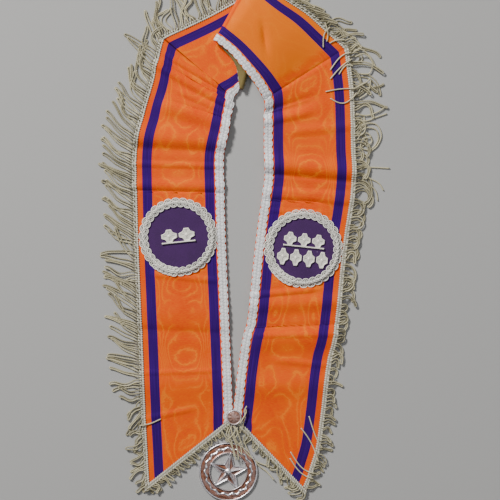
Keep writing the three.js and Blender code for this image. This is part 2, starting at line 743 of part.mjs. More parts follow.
// The pendant ring: flat, with a raised rim, and a wavy band standing on its flat
function pendantRing() {
  const outer = pendantDiameter / 2;
  const inner = pendantHole / 2;
  const profile = [
    [inner, 0],
    [outer, 0],
    [outer, pendantDepth],
    [outer - pendantRim, pendantDepth],
    [outer - pendantRim, pendantFlat],
    [inner, pendantFlat],
    [inner, 0],
  ];
  return new THREE.LatheGeometry(profile.map(([r, z]) => new THREE.Vector2(r, z)), 40).rotateX(Math.PI / 2);
}

function wavyBand() {
  const steps = pendantWaves * 3;
  const middle = (pendantDiameter / 2 - pendantRim + pendantHole / 2) / 2;
  const positions = [];
  const faces = [];
  for (let step = 0; step < steps; step += 1) {
    const angle = (2 * Math.PI * step) / steps;
    const radius = middle + pendantWave * Math.cos(angle * pendantWaves);
    const half = pendantBandWidth / 2;
    const corners = [
      [radius + half, pendantFlat / 2],
      [radius + half * 0.4, pendantDepth],
      [radius - half * 0.4, pendantDepth],
      [radius - half, pendantFlat / 2],
    ];
    for (const [r, z] of corners) positions.push(r * Math.cos(angle), r * Math.sin(angle), z);
    const next = (step + 1) % steps;
    for (let side = 0; side < 4; side += 1) {
      const a = step * 4 + side;
      const b = next * 4 + side;
      const c = next * 4 + ((side + 1) % 4);
      const d = step * 4 + ((side + 1) % 4);
      faces.push(a, b, c, a, c, d);
    }
  }
  return solidFrom(positions, faces);
}

// A five-pointed star whose ridges rise from its edge to its middle
function star() {
  const positions = [0, 0, starDepth, 0, 0, starFoot];
  const faces = [];
  for (let corner = 0; corner < 10; corner += 1) {
    const radius = corner % 2 === 0 ? starDiameter / 2 : starNeck / 2;
    const angle = (Math.PI * corner) / 5 + Math.PI / 2;
    const x = radius * Math.cos(angle);
    const y = radius * Math.sin(angle);
    positions.push(x, y, starEdge, x, y, starFoot);
    const next = (corner + 1) % 10;
    const top = 2 + corner * 2;
    const nextTop = 2 + next * 2;
    faces.push(0, top, nextTop, 1, nextTop + 1, top + 1);
    faces.push(top, top + 1, nextTop + 1, top, nextTop + 1, nextTop);
  }
  return solidFrom(positions, faces).rotateZ(THREE.MathUtils.degToRad(starTurn));
}

function boss() {
  const radius = bossDiameter / 2;
  const foot = bossDepth / 4;
  const profile = [[0, foot], [radius, foot], [radius * 0.8, bossDepth * 0.85], [0, bossDepth]];
  return new THREE.LatheGeometry(profile.map(([r, z]) => new THREE.Vector2(r, z)), 12).rotateX(Math.PI / 2);
}

// The pendant lies on the floor between the slanting points, clear of their fringe, its eye standing
// upright at the side of its rim that faces the button
const pointEnd = leftSections.at(-1);
const pointCorner = pointEnd.up * panelLength - (pointEnd.skew / 2) * ribbonWidth;
const pendantUp = pointCorner - pendantPlace.touch * (pendantDiameter / 2) - pendantRoom;
const pendantCentre = new THREE.Vector3(pendantPlace.out * ribbonWidth, pendantUp, 0);
const hangWay = buttonCentre.clone().sub(pendantCentre).setZ(0).normalize();
const eyeRadius = (eyeDiameter - eyeWire) / 2;
const eyeReach = pendantDiameter / 2 + eyeRadius - eyeWire / 4;
const eye = new THREE.TorusGeometry(eyeRadius, eyeWire / 2, 6, 14).rotateY(Math.PI / 2);
eye.rotateZ(Math.atan2(hangWay.y, hangWay.x) - Math.PI / 2);
eye.translate(hangWay.x * eyeReach, hangWay.y * eyeReach, eyeDiameter / 2);
const pendantShape = fuse([pendantRing(), wavyBand(), star(), boss(), eye]);
const pendant = addNode('star_pendant', pendantShape, finishes.pendant);
pendant.position.copy(pendantCentre);

// One plain link passes through the eye and lies against the corner of the cloth under the button
const linkRadius = (linkWidth - linkWire) / 2;
const linkStart = pendantCentre.clone().addScaledVector(hangWay, eyeReach + linkRadius);
const corner = bands.left.point(bands.left.last, 0).setZ(0);
const cornerAlong = corner.dot(hangWay);
const cornerReach = linkWidth / 2 + clearance;
const cornerAside = corner.lengthSq() - cornerAlong ** 2;
const linkDrop = Math.sqrt(Math.max(cornerReach ** 2 - cornerAside, 0)) - cornerAlong;
const linkEnd = hangWay.clone().multiplyScalar(-linkDrop);
const linkTurns = [];
const across = new THREE.Vector3(-hangWay.y, hangWay.x, 0);
const linkSteps = 4;
for (let step = 0; step <= linkSteps; step += 1) {
  const turn = (Math.PI * step) / linkSteps;
  const away = hangWay.clone().multiplyScalar(-linkRadius * Math.sin(turn));
  linkTurns.push(away.addScaledVector(across, linkRadius * Math.cos(turn)).add(linkStart));
}
for (let step = 0; step <= linkSteps; step += 1) {
  const turn = (Math.PI * step) / linkSteps;
  const away = hangWay.clone().multiplyScalar(linkRadius * Math.sin(turn));
  linkTurns.push(away.addScaledVector(across, -linkRadius * Math.cos(turn)).add(linkEnd));
}
for (const point of linkTurns) point.z = eyeDiameter / 2;
const linkPath = new THREE.CatmullRomCurve3(linkTurns, true, 'centripetal');
const wire = new THREE.Shape();
for (let corner = 0; corner <= 6; corner += 1) {
  const angle = (Math.PI * corner) / 3;
  const x = (linkWire / 2) * Math.cos(angle);
  const y = (linkWire / 2) * Math.sin(angle);
  if (corner === 0) wire.moveTo(x, y);
  else wire.lineTo(x, y);
}
const linkShape = new THREE.ExtrudeGeometry(wire, { steps: 16, extrudePath: linkPath, bevelEnabled: false });
addNode('hanger_link', linkShape, finishes.button);

// Centres the finished sash over its origin, with its lowest point on the floor
const bounds = new THREE.Box3().setFromObject(sash);
const middle = bounds.getCenter(new THREE.Vector3());
sash.position.set(-middle.x, -middle.y, -bounds.min.z);

export default sash;
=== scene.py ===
"""Fringed sash of an order, laid flat: moire cloth with woven stripes, silver braid along the inner
edge, looped bullion fringe along the outer one, two badges, a button and a pierced star pendant."""
import math
from functools import cache

import bpy
import numpy as np
from bpy.props import FloatProperty, FloatVectorProperty, IntProperty, PointerProperty
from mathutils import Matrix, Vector


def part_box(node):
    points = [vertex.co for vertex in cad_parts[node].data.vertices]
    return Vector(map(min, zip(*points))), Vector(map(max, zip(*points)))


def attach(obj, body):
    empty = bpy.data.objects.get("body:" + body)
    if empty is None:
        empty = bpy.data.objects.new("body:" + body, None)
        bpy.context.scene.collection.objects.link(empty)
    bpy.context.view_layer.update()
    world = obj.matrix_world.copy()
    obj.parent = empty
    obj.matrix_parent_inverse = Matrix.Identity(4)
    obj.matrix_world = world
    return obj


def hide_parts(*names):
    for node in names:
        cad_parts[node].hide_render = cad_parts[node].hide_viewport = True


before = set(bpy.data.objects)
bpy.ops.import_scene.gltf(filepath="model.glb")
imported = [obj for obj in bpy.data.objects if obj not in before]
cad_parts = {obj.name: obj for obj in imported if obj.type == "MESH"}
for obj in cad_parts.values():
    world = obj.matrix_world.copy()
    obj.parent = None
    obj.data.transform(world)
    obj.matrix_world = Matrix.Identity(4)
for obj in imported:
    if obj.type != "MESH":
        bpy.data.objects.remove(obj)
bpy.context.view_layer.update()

bl_info = {
    "name": "Fringed sash of an order",
    "version": (1, 0, 0),
    "blender": (4, 5, 0),
    "location": "View3D > Sidebar > Sash",
    "description": "Builds the cloth, trims and metalwork of a fringed sash",
    "category": "Object",
}

MM = 0.001
UP = np.array([0.0, 0.0, 1.0])
# Gaps between a trim or a layer and the cloth below it, and between two bands at a seam
TRIM_GAP = 0.3 * MM
SEAM_GAP = 0.3 * MM
# Height over which the floor softly stops the cloth, and rows of points along a hanging band
FLOOR_EASE = 0.4 * MM
PANEL_ROWS = 280


def box_of(node):
    """The lowest and highest corners of a node of the frame, as arrays."""
    low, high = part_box(node)
    return np.array(low), np.array(high)


def foot_centre(low, high):
    """The middle of a box, at its lowest height."""
    return (low + high) / 2 * [1, 1, 0] + [0, 0, low[2]]


BUTTON_LOW, BUTTON_HIGH = box_of("button")
ORIGIN = (BUTTON_LOW + BUTTON_HIGH) / 2 * [1, 1, 0]
PENDANT_LOW, PENDANT_HIGH = box_of("star_pendant")
PENDANT_RADIUS = (PENDANT_HIGH[0] - PENDANT_LOW[0]) / 2
# The eye lies past the ring's upper side, so the centre is one radius from its lower side
PENDANT_CENTRE = PENDANT_LOW + [PENDANT_RADIUS, PENDANT_RADIUS, 0]
BADGE_BOXES = {side: box_of("badge_disc_" + side) for side in ("left", "right")}


def size(name, description, value):
    """A length property with the settings that all of them share."""
    return FloatProperty(name=name, description=description, default=value, unit="LENGTH")


def colour(name, description, value):
    """A colour property with the settings that all of them share."""
    return FloatVectorProperty(
        name=name, description=description, default=value, subtype="COLOR", size=3, min=0, max=1)


class ClothSizes(bpy.types.PropertyGroup):
    """Sizes of the cloth and of the trims along its edges."""

    ribbon_width: size("Ribbon width", "Width of the cloth", 0.1016)
    panel_length: size("Panel length", "Height of the shoulder above the button", 0.385)
    cloth_depth: size("Cloth depth", "Thickness of cloth and lining", 0.0025)
    lining_depth: size("Lining depth", "Thickness of the lining", 0.001)
    crease_height: size("Crease height", "Height of the highest crease", 0.005)
    shoulder_rise: size("Shoulder rise", "Lift of the right shoulder seam", 0.004)
    fold_radius: size("Fold radius", "Inner radius of the front fold", 0.0012)
    neck_swell: size("Neck swell", "Crown of the top layer of the neck", 0.004)
    braid_width: size("Braid width", "Width of the braid", 0.0103)
    braid_depth: size("Braid depth", "Thickness of the braid", 0.0014)
    braid_pitch: size("Scallop pitch", "Length of one scallop of the braid", 0.0077)
    head_width: size("Head width", "Width of the fringe head", 0.0062)
    head_depth: size("Head depth", "Thickness of the fringe head", 0.0012)
    stripe_inset: size("Stripe inset", "Cloth between a trim and the inner stripe", 0.0008)
    stripe_margin: size("Stripe margin", "Cloth between the head and the outer stripe", 0.0053)
    stripe_width: size("Stripe width", "Width of each woven stripe", 0.0105)
    fringe_length: size("Fringe length", "Length of the longest loops", 0.042)
    cord_diameter: size("Cord diameter", "Diameter of the fringe cord", 0.0015)
    loop_pitch: size("Loop pitch", "Distance between fringe loops", 0.0056)


class MetalSizes(bpy.types.PropertyGroup):
    """Sizes of the badges, their ornaments, the button and the pendant."""

    badge_loops: IntProperty(
        name="Badge loops", description="Shell loops round each badge", default=30)
    badge_braid_diameter: size("Badge braid diameter", "Outside of the braid round a badge", 0.085)
    badge_braid_width: size("Badge braid width", "Width of the braid round a badge", 0.0088)
    badge_tilt: FloatProperty(
        name="Badge tilt", description="Turn of the ornaments on each badge",
        default=math.radians(6), subtype="ANGLE")
    pendant_hole: size("Pendant hole", "Diameter inside the ring", 0.0402)
    pendant_rim: size("Pendant rim", "Width of the raised rim", 0.0018)
    pendant_flat: size("Pendant flat", "Height of the flat of the ring", 0.0017)
    pendant_depth: size("Pendant depth", "Height of the rim", 0.0026)
    star_diameter: size("Star diameter", "Circle through the points of the star", 0.046)
    star_neck: size("Star neck", "Circle through the corners between the points", 0.019)
    star_turn: FloatProperty(
        name="Star turn", description="Turn of the star in its ring",
        default=math.radians(-7.6), subtype="ANGLE")
    boss_diameter: size("Boss diameter", "Faceted boss on the star", 0.008)
    eye_diameter: size("Eye diameter", "Outside of the eye", 0.0052)
    wire: size("Wire", "Wire of the eye and the link", 0.0012)
    link_width: size("Link width", "Outside width of the link", 0.0054)


class SashColours(bpy.types.PropertyGroup):
    """Colours of the finishes, as linear values."""

    orange: colour("Orange", "Ground of the cloth", (0.88, 0.098, 0.0))
    orange_deep: colour("Deep orange", "Shaded figure of the moire", (0.80, 0.063, 0.0))
    orange_pale: colour("Pale orange", "Bright figure of the moire", (0.95, 0.21, 0.004))
    # Painted sheen: the lighter ground where the top layer of the neck band turns to the light
    painted_sheen: colour("Amber", "Ground where the neck band turns to the light", (0.92, 0.20, 0.0))
    violet: colour("Violet", "Woven stripes", (0.052, 0.0055, 0.2))
    violet_deep: colour("Deep violet", "Shaded threads of the stripes", (0.022, 0.0024, 0.088))
    # Gold satin, darkened as painted shade, for it lies in the shadow of the top layer of the neck
    lining: colour("Lining", "Satin lining", (0.2, 0.145, 0.034))
    silver_thread: colour("Silver thread", "Braid", (0.93, 0.93, 0.95))
    thread_shade: colour("Thread shade", "Grooves of the braid", (0.10, 0.09, 0.085))
    head_thread: colour("Head thread", "Fringe head", (0.74, 0.71, 0.58))
    cord: colour("Cord", "Bullion cord", (0.60, 0.545, 0.35))
    cord_shade: colour("Cord shade", "Grooves of the cord", (0.06, 0.05, 0.025))
    shell: colour("Shell", "Braid round the badges", (0.96, 0.94, 0.86))
    felt: colour("Felt", "Cover of the badges", (0.056, 0.008, 0.104))
    cast: colour("Cast metal", "Ornaments", (0.95, 0.92, 0.82))
    silver: colour("Silver", "Raised parts of the pendant", (0.95, 0.93, 0.98))
    # Painted warm reflection: the warm brown that the silver metal of the pendant and the button
    # reflects, painted into their hollows and flats
    painted_warm_reflection: colour("Copper", "Worn hollows of pendant and button", (0.31, 0.125, 0.075))
    floor: colour("Floor", "Floor", (0.43, 0.43, 0.426))


def cloth():
    """The sizes of the cloth and its trims."""
    return bpy.context.scene.sash_cloth


def metal():
    """The sizes of the badges and the metalwork."""
    return bpy.context.scene.sash_metal


def colours():
    """The colours of the finishes."""
    return bpy.context.scene.sash_colours


def columns(names, *rows):
    """A short table as one array for each named column."""
    return {name: np.array(values, float) for name, values in zip(names.split(), zip(*rows))}


def mixed(table, key, place):
    """Every column of a table at the places given, in a straight line from row to row."""
    return {name: np.interp(place, table[key], values) for name, values in table.items()}


# Columns of the tables below
SECTION = "up out skew width rise"
LINE = "in_x in_y out_x out_y"
CREASE = "up climb spread height start end"
LAY = "along lean curl reach stray"
STRAY = "along reach drift sag"

# Sections of the hanging bands. up: share of the panel length above the button. out: share of the
# ribbon width from the button to the middle. skew: how far the outer edge stands above the inner
# edge, and width: flat width, as shares of the ribbon width. rise: share of the shoulder rise.
LEFT_SECTIONS = columns(
    SECTION,
    (1.0, 0.404, 0.498, 0.912, 0),
    (0.926, 0.459, 0.24, 0.95, 0),
    (0.837, 0.538, 0, 0.99, 0),
    (0.763, 0.6, 0, 1, 0),
    (0.62, 0.599, 0, 1, 0),
    (0.477, 0.583, 0, 1, 0),
    (0.334, 0.56, 0, 1, 0),
    (0.206, 0.539, 0, 1, 0),
    (0.02, 0.511, -0.15, 1, 0),
    (-0.06, 0.5, -0.45, 0.98, 0),
    (-0.117, 0.493, -0.714, 0.963, 0),
)
RIGHT_SECTIONS = columns(
    SECTION,
    (-0.124, 0.401, -0.6, 0.88, 0),
    (-0.085, 0.432, -0.45, 0.94, 0),
    (-0.034, 0.466, -0.28, 1, 0),
    (0.043, 0.504, -0.08, 1, 0),
    (0.111, 0.531, 0, 1, 0),
    (0.194, 0.579, 0, 1, 0),
    (0.246, 0.629, 0, 1, 0),
    (0.334, 0.671, 0, 1, 0),
    (0.434, 0.707, 0, 1, 0),
    (0.546, 0.758, 0, 1, 0),
    (0.609, 0.796, 0, 1, 0),
    (0.691, 0.83, 0, 1, 0),
    (0.763, 0.821, 0, 1, 0),
    (0.897, 0.811, 0.22, 0.99, 0.4),
    (0.981, 0.785, 0.504, 0.968, 1),
)

# Lines across the neck band from its inner to its outer edge, as shares of the ribbon width from
# the shoulder height above the button. rise_in and rise_out: shares of the height of the top layer.
NECK_TOP = columns(
    "in_x in_y out_x out_y rise_in rise_out",
    (0.2165, -0.184, 1.05, 0.39, 0.84, 0.2),
    (0.092, -0.022, 0.812, 0.596, 1, 0.6),
    (-0.043, 0.141, 0.545, 0.766, 1, 1),
)
NECK_FRONT_FOLD = columns(LINE, (-0.184, 0.254, 0.238, 1.018))
NECK_MIDDLE = columns(LINE, (0.012, 0.02, 0.3, 0.99))
NECK_BACK_FOLD = columns(LINE, (0.06, -0.238, 0.411, 0.942))
NECK_LOW = columns(
    LINE,
    (0.043, -0.271, 0.097, 0.78),
    (0.016, -0.309, -0.314, 0.562),
)

# Creases. up: share of the panel length at the middle. climb: rise of the crease from the inner to
# the outer edge, and spread: half its width, as shares of the ribbon width. height: share of the
# crease height. start and end: shares of the width between which it is full.
LEFT_CREASES = columns(
    CREASE,
    (0.95, 0.5, 0.05, 0.7, 0.1, 0.9),
    (0.87, 0.3, 0.09, 0.8, 0, 0.7),
    (0.79, 0.06, 0.14, 0.9, 0, 1),
    (0.66, 0.02, 0.06, 0.5, 0.1, 0.9),
    (0.29, 0.04, 0.2, 0.4, 0, 1),
    (0.1, -0.05, 0.2, 0.45, 0, 1),
)
RIGHT_CREASES = columns(
    CREASE,
    (0.71, -0.09, 0.1, 0.9, 0, 1),
    (0.625, -0.06, 0.045, 0.45, 0.15, 0.9),
    (0.325, 0.05, 0.08, 0.5, 0, 1),
    (0.225, 0.05, 0.12, 0.6, 0.2, 1),
    (0.09, 0.03, 0.13, 0.45, 0, 1),
)
# Fine wrinkles, with the same columns
LEFT_WRINKLES = columns(
    CREASE,
    (0.985, 0.5, 0.022, 0.6, 0.2, 0.75),
    (0.957, 0.47, 0.02, -0.6, 0.1, 0.8),
    (0.915, 0.4, 0.03, 0.4, 0.05, 0.55),
    (0.885, 0.3, 0.02, -0.3, 0.1, 0.6),
    (0.765, 0.05, 0.06, -0.5, 0.05, 0.95),
    (0.72, 0.03, 0.025, 0.3, 0.1, 0.9),
    (0.643, 0.03, 0.022, -0.42, 0.1, 0.9),
    (0.4, 0.1, 0.03, 0.25, 0.2, 0.7),
    (0.24, 0.05, 0.05, -0.3, 0.1, 0.9),
    (0.13, -0.03, 0.02, 0.15, 0.3, 0.9),
    (0.02, -0.2, 0.025, 0.2, 0.55, 0.85),
)
RIGHT_WRINKLES = columns(
    CREASE,
    (0.905, 0.3, 0.05, -0.6, 0.02, 0.45),
    (0.87, 0.2, 0.04, 0.35, 0.02, 0.4),
    (0.82, 0.1, 0.05, 0.3, 0.4, 0.9),
    (0.676, -0.1, 0.07, -0.62, 0.02, 0.98),
    (0.64, -0.06, 0.03, 0.3, 0.1, 0.85),
    (0.615, -0.05, 0.024, -0.6, 0.05, 0.55),
    (0.585, -0.05, 0.02, 0.25, 0.2, 0.6),
    (0.36, 0.1, 0.025, 0.4, 0.1, 0.6),
    (0.26, 0.04, 0.025, -0.4, 0.1, 0.9),
    (0.235, 0.02, 0.02, 0.3, 0.2, 0.9),
    (0.16, -0.1, 0.03, 0.2, 0.5, 0.9),
)

# Fringe along each stretch of edge, walked from the button round the outside. along: share of the
# stretch. lean: degrees from square to the edge towards the walk. curl: further degrees by the tip.
# reach: share of the fringe length. stray: how untidy the loops lie.
FRINGE_LAY = {
    "point_right": columns(
        LAY,
        (0, 30, 20, 0.16, 1.2), (0.5, 20, 60, 0.24, 1.6), (1, 10, -20, 0.3, 1.4)),
    "right": columns(
        LAY,
        (0, 10, 60, 0.26, 1.0), (0.2, 20, -110, 0.34, 1.0), (0.38, 30, -160, 0.42, 1.0),
        (0.5, 35, -190, 0.6, 1.1), (0.6, 40, -200, 0.75, 1.1), (0.7, 35, -190, 0.85, 1.1),
        (0.74, 0, -60, 0.75, 1.0), (0.77, 25, -270, 0.85, 1.3), (0.84, 10, -240, 0.8, 1.5),
        (0.88, 0, 20, 0.85, 0.6), (0.92, 5, -90, 0.8, 1.6), (1, 0, -150, 0.75, 2)),
    "neck": columns(
        LAY,
        (0, -20, -60, 0.75, 2), (0.12, -40, -40, 0.7, 1.6), (0.2, -60, -20, 0.6, 0.8),
        (0.42, -60, -15, 0.6, 0.8), (0.5, -25, 20, 0.85, 1.6), (1, -25, 25, 0.9, 1.6)),
    "left": columns(
        LAY,
        (0, -35, -25, 0.85, 1.4), (0.1, -35, -15, 0.95, 0.6), (0.25, -40, 10, 0.97, 0.35),
        (0.46, -42, 14, 0.95, 0.35), (0.52, -30, 25, 0.9, 1.2), (0.6, -42, 16, 0.97, 0.4),
        (0.76, -30, 20, 0.8, 0.6), (0.84, 20, 35, 0.45, 1.2), (1, 40, 30, 0.35, 1.2)),
    "point_left": columns(
        LAY,
        (0, 10, 20, 0.3, 1.4), (0.5, -10, 60, 0.22, 1.6), (0.7, -15, 20, 0.14, 1.0),
        (1, -20, 20, 0.16, 1.0)),
}
# Shares of the neck's stretch between which the fold covers the head and no loops are made
NECK_BARE = (0.4, 0.64)
# How far the loops stray from the lay, as spreads: degrees of lean, curl and sway, and share of
# the reach. Then the sway that all of them have.
LEAN_SPREAD, CURL_SPREAD, SWAY_SPREAD, REACH_SPREAD = 9, 34, 16, 0.1
SWAY = 14
# Way along a loop over which it falls from the head to the floor
FALL_LENGTH = 9 * MM

# Single cords of the fringe that lie in over the cloth. along: share of the stretch. reach: share
# of the ribbon width that they cross. drift: how far they run along the edge, and sag: how far they
# bow along it on the way, as shares of that width.
STRAYS = {
    "right": columns(
        STRAY, (0.03, 0.25, 0.03, -0.05), (0.042, 0.26, 0.05, -0.06),
        (0.068, 0.2, 0.28, 0.02), (0.1, 0.13, 0.3, -0.05), (0.893, 0.22, 0.03, -0.08),
        (0.905, 0.265, 0.07, 0.01), (0.955, 0.1, -0.02, 0.05), (0.97, 0.2, -0.1, 0.03),
        (0.985, 0.19, -0.06, 0.05)),
    "neck": columns(
        STRAY, (0.1, 0.15, -0.15, 0.04), (0.125, 0.08, -0.19, -0.03),
        (0.03, 0.07, 0.06, 0.02)),
    "left": columns(STRAY, (0.865, 0.17, -0.03, 0.02)),
}
# Loose cords of some stretches, as points in millimetres from the button: those that stick out at
# the right shoulder, and those that hang from the button over the link and the pendant
LOOSE_CORDS = {"right": (
    ((134, 274, 3), (138, 274.4, 1.6), (150, 274.6, 0.8), (171, 273.6, 0.8)),
    ((134, 333.6, 3), (145.8, 331.6, 1.6), (159.5, 336.2, 1.6), (167, 341.6, 1.4)),
    ((134, 328.4, 3), (144, 325.4, 1.4), (155.8, 329.3, 0.9), (168, 333.7, 0.8)),
    ((134, 362, 3.4), (146, 368.5, 3), (150, 372, 2.4), (147, 357, 1.6), (138, 350, 1.6)),
    ((130.5, 400, 5), (138, 404.5, 4), (148, 398, 2.6), (157.3, 382, 0.9)),
    ((133, 396, 5), (143, 399, 4.2), (152, 390, 2.6), (149, 378, 1.8), (140, 377, 2.4)),
    ((134.6, 309, 3), (145, 318, 2), (156.2, 315.7, 1), (158.4, 304.7, 0.9),
     (149.6, 294, 1.2), (139.7, 296.5, 1.8), (141.5, 305.8, 2.4), (150.6, 307.6, 2.4)),
    ((134.6, 313, 3), (143, 322, 2), (156, 322, 1), (162, 311, 0.9), (158, 299, 0.9),
     (147, 289.5, 0.9)),
    ((134.6, 303, 3), (140, 311, 2.2), (148, 311.5, 1.6), (151.5, 303, 1.5), (146, 298, 2)),
    ((135, 268.7, 3), (148.5, 262.8, 1.4), (159.5, 256.8, 0.8), (164.4, 249.2, 0.8)),
    ((135, 262, 3), (147, 257, 1.4), (156, 248, 0.8), (158, 238, 0.8)),
), "point_right": (
    ((-13, -15.5, 4.6), (-9, -22, 4.8), (-4, -28, 5.2), (0, -37, 5.8), (2.6, -47, 5.2)),
    ((-3, -12, 4.8), (-1, -22, 5), (2.5, -30, 5.3), (4.2, -38, 5.8), (5.2, -46.5, 5)),
    ((-2.5, -10, 4.8), (-5.5, -17, 5), (-4.5, -24, 4.8), (-7.5, -27, 4.4), (-9, -24, 4.4)),
    ((1, -10, 4.8), (4, -18, 5), (1, -24, 4.8), (5, -29, 4.2), (9, -27, 3.6)),
    ((3, -12, 4.6), (6, -22, 4.4), (12, -37, 2.6), (26.4, -49.5, 1.6), (41.8, -55, 2.2)),
    ((10, -20, 4.2), (14, -34, 2.4), (27, -53, 1.2), (36, -60, 1.2), (44, -69, 2.6)),
    ((-6, -11, 4.8), (-8, -19, 4.8), (-3, -25, 5), (-1.5, -33, 5.4), (0.5, -43, 5.4)),
    ((4, -11, 4.6), (0, -19, 5.4), (3.5, -27, 5.2), (7.5, -33, 4.4), (8.5, -41, 4.6)),
    ((-1, -9, 4.8), (1.5, -14, 5.4), (-2, -20, 5.6), (-6, -24.5, 5), (-3, -29, 5)),
    ((14, 12.5, 5.8), (11.5, 7, 5.8), (12.5, 1, 5.6), (10.5, -6, 5.2), (9.5, -12, 4.9)),
    ((6.5, -6.5, 8), (9, -2.5, 7.4), (12, 2.5, 6.4), (13.5, 6, 6), (13, 9, 5.8)),
)}


def smooth_curve(points, knots):
    """A centripetal Catmull-Rom curve: between two points it is the cubic whose end tangents come
    from their neighbours, with knots spaced by the square root of each distance."""
    ends = [2 * points[0] - points[1]], points, [2 * points[-1] - points[-2]]
    line = np.concatenate(ends)
    low = np.clip(knots.astype(int), 0, len(points) - 2)
    part = (knots - low)[:, None]
    a, b, c, d = (line[low + step] for step in range(4))
    gaps = [
        np.maximum(np.linalg.norm(q - p, axis=1), 1e-8)[:, None] ** 0.5
        for p, q in ((a, b), (b, c), (c, d))
    ]
    start = ((b - a) / gaps[0] - (c - a) / (gaps[0] + gaps[1]) + (c - b) / gaps[1]) * gaps[1]
    end = ((c - b) / gaps[1] - (d - b) / (gaps[1] + gaps[2]) + (d - c) / gaps[2]) * gaps[1]
    square = 3 * (c - b) - 2 * start - end
    cube = 2 * (b - c) + start + end
    return b + start * part + square * part**2 + cube * part**3


def turns(count):
    """Equal angles once round, from 0 up to the last one before a whole turn."""
    return np.linspace(0, 2 * math.pi, count + 1)[:-1]


def even(count):
    """Shares from 0 to 1 in that many equal steps."""
    return np.arange(count + 1) / count


def polar(radius, angle, height):
    """Points at a distance and an angle round an upright axis, at a height."""
    return np.stack(
        np.broadcast_arrays(radius * np.cos(angle), radius * np.sin(angle), height), axis=-1)


def unit(vectors):
    """Vectors scaled to length one."""
    return vectors / np.maximum(np.linalg.norm(vectors, axis=-1, keepdims=True), 1e-12)


def ease(part):
    """Zero below 0, one above 1, and 3 p^2 - 2 p^3 between."""
    part = np.clip(part, 0, 1)
    return part * part * (3 - 2 * part)


def run_lengths(points):
    """Distance walked along a line of points, from its first point to each of them."""
    steps = np.linalg.norm(np.diff(points, axis=0), axis=-1)
    return np.concatenate([[0], np.cumsum(steps)])


class Band:
    """A run of cloth as a grid of points. Row i is the line from inner[i] to outer[i], and column j
    a share of it. Heights above its under side are measured along the normal, across x along."""

    columns = 81

    def __init__(self, inner, outer, relief, faces=None):
        shares = np.linspace(0, 1, self.columns)
        grid = inner[:, None] + (outer - inner)[:, None] * shares[None, :, None]
        grid[..., 2] += relief(grid, shares)
        self.grid = grid
        self.rows = len(inner)
        # Painted sheen along the rows: none unless the band sets it
        self.tone = np.zeros(self.rows)
        self.normals = unit(np.cross(np.gradient(grid, axis=1), np.gradient(grid, axis=0)))
        if faces is not None:
            told = ~np.isnan(faces[:, 0])
            self.normals[told] = faces[told][:, None]

    def on(self, place, share, height):
        """Bilinear mix of the four grid points round (place, share), moved by height along the
        same mix of their normals. Shares past 0 and 1 carry on in a straight line."""
        place, share, height = np.broadcast_arrays(place, share, height)
        i = np.clip(place.astype(int), 0, self.rows - 2)
        across = share * (self.columns - 1)
        j = np.clip(np.floor(across).astype(int), 0, self.columns - 2)
        f, g = (place - i)[..., None], (across - j)[..., None]

        def mix(values):
            near = values[i, j] * (1 - g) + values[i, j + 1] * g
            far = values[i + 1, j] * (1 - g) + values[i + 1, j + 1] * g
            return near * (1 - f) + far * f

        return mix(self.grid) + unit(mix(self.normals)) * height[..., None]

    def line(self, share):
        """The grid line at one share, and the distance walked along it."""
        points = self.on(np.arange(self.rows, dtype=float), share, 0.0)
        return points, run_lengths(points)

    def places(self, share, step, start=0.0, end=None):
        """Places at about equal steps along the line at one share, and the distances there."""
        walked = self.line(share)[1]
        last = self.rows - 1 if end is None else end
        first, final = np.interp([start, last], np.arange(self.rows), walked)
        count = max(int(round((final - first) / step)), 1)
        along = np.linspace(first, final, count + 1)
        return np.interp(along, walked, np.arange(self.rows)), along

    def length(self):
        """Mean length of the cloth over its width."""
        steps = np.linalg.norm(np.diff(self.grid, axis=0), axis=-1)
        return float(steps.sum(axis=0).mean())


# Share of the width over which a crease fades past its ends
CREASE_FADE = 0.12


def crease_rise(tables, grid, shares):
    """Sum of creases: each is height * exp(-off^2 - past^2), where off is the distance from its
    slanting line over its spread, and past the distance beyond its ends over CREASE_FADE."""
    c = cloth()
    rise = np.zeros(grid.shape[:2])
    for table in tables:
        for up, climb, spread, height, start, end in zip(*table.values()):
            line = ORIGIN[1] + up * c.panel_length + climb * c.ribbon_width * (shares - 0.5)
            off = (grid[..., 1] - line) / (spread * c.ribbon_width)
            past = np.maximum(np.maximum(start - shares, shares - end), 0) / CREASE_FADE
            rise += c.crease_height * height * np.exp(-off * off - past * past)
    return rise


# Depth and half width of the valley along a sewn seam
SEAM_DEPTH, SEAM_SPREAD = 1.2 * MM, 1.5 * MM


def seam_dip(grid, at_start):
    """A shallow valley along the sewn seam at one end: depth * exp(-(distance / spread)^2)."""
    end = grid[0] if at_start else grid[-1]
    off = np.linalg.norm(grid - end[None], axis=-1)
    return SEAM_DEPTH * np.exp(-((off / SEAM_SPREAD) ** 2))


def panel_edges(sections, side, rows):
    """Edges of a hanging band: middles on a smooth curve at equal steps, and half lines square to
    it plus the skew along it, each column of the table eased from section to section."""
    c = cloth()
    count = len(sections["up"])
    zeros = np.zeros(count)
    middles = np.stack(
        [side * sections["out"] * c.ribbon_width, sections["up"] * c.panel_length, zeros], axis=1)
    dense = np.linspace(0, count - 1, 60 * count)
    walked = run_lengths(smooth_curve(middles, dense))
    knots = np.interp(np.linspace(0, walked[-1], rows), walked, dense)
    low = np.clip(knots.astype(int), 0, count - 2)
    part = ease(knots - low)

    def blend(name):
        values = sections[name]
        return (values[low] * (1 - part) + values[low + 1] * part)[:, None]

    nudge = 1e-3
    middle = smooth_curve(middles, knots)
    walk = unit(smooth_curve(middles, knots + nudge) - smooth_curve(middles, knots - nudge))
    outward = np.stack([walk[:, 1], -walk[:, 0], 0 * walk[:, 0]], axis=1)
    half = outward * c.ribbon_width * blend("width") / 2
    half = half + walk * side * c.ribbon_width * blend("skew") / 2
    inner = middle - half
    inner[:, 2] = c.shoulder_rise * blend("rise")[:, 0]
    return inner + ORIGIN, middle + half + ORIGIN


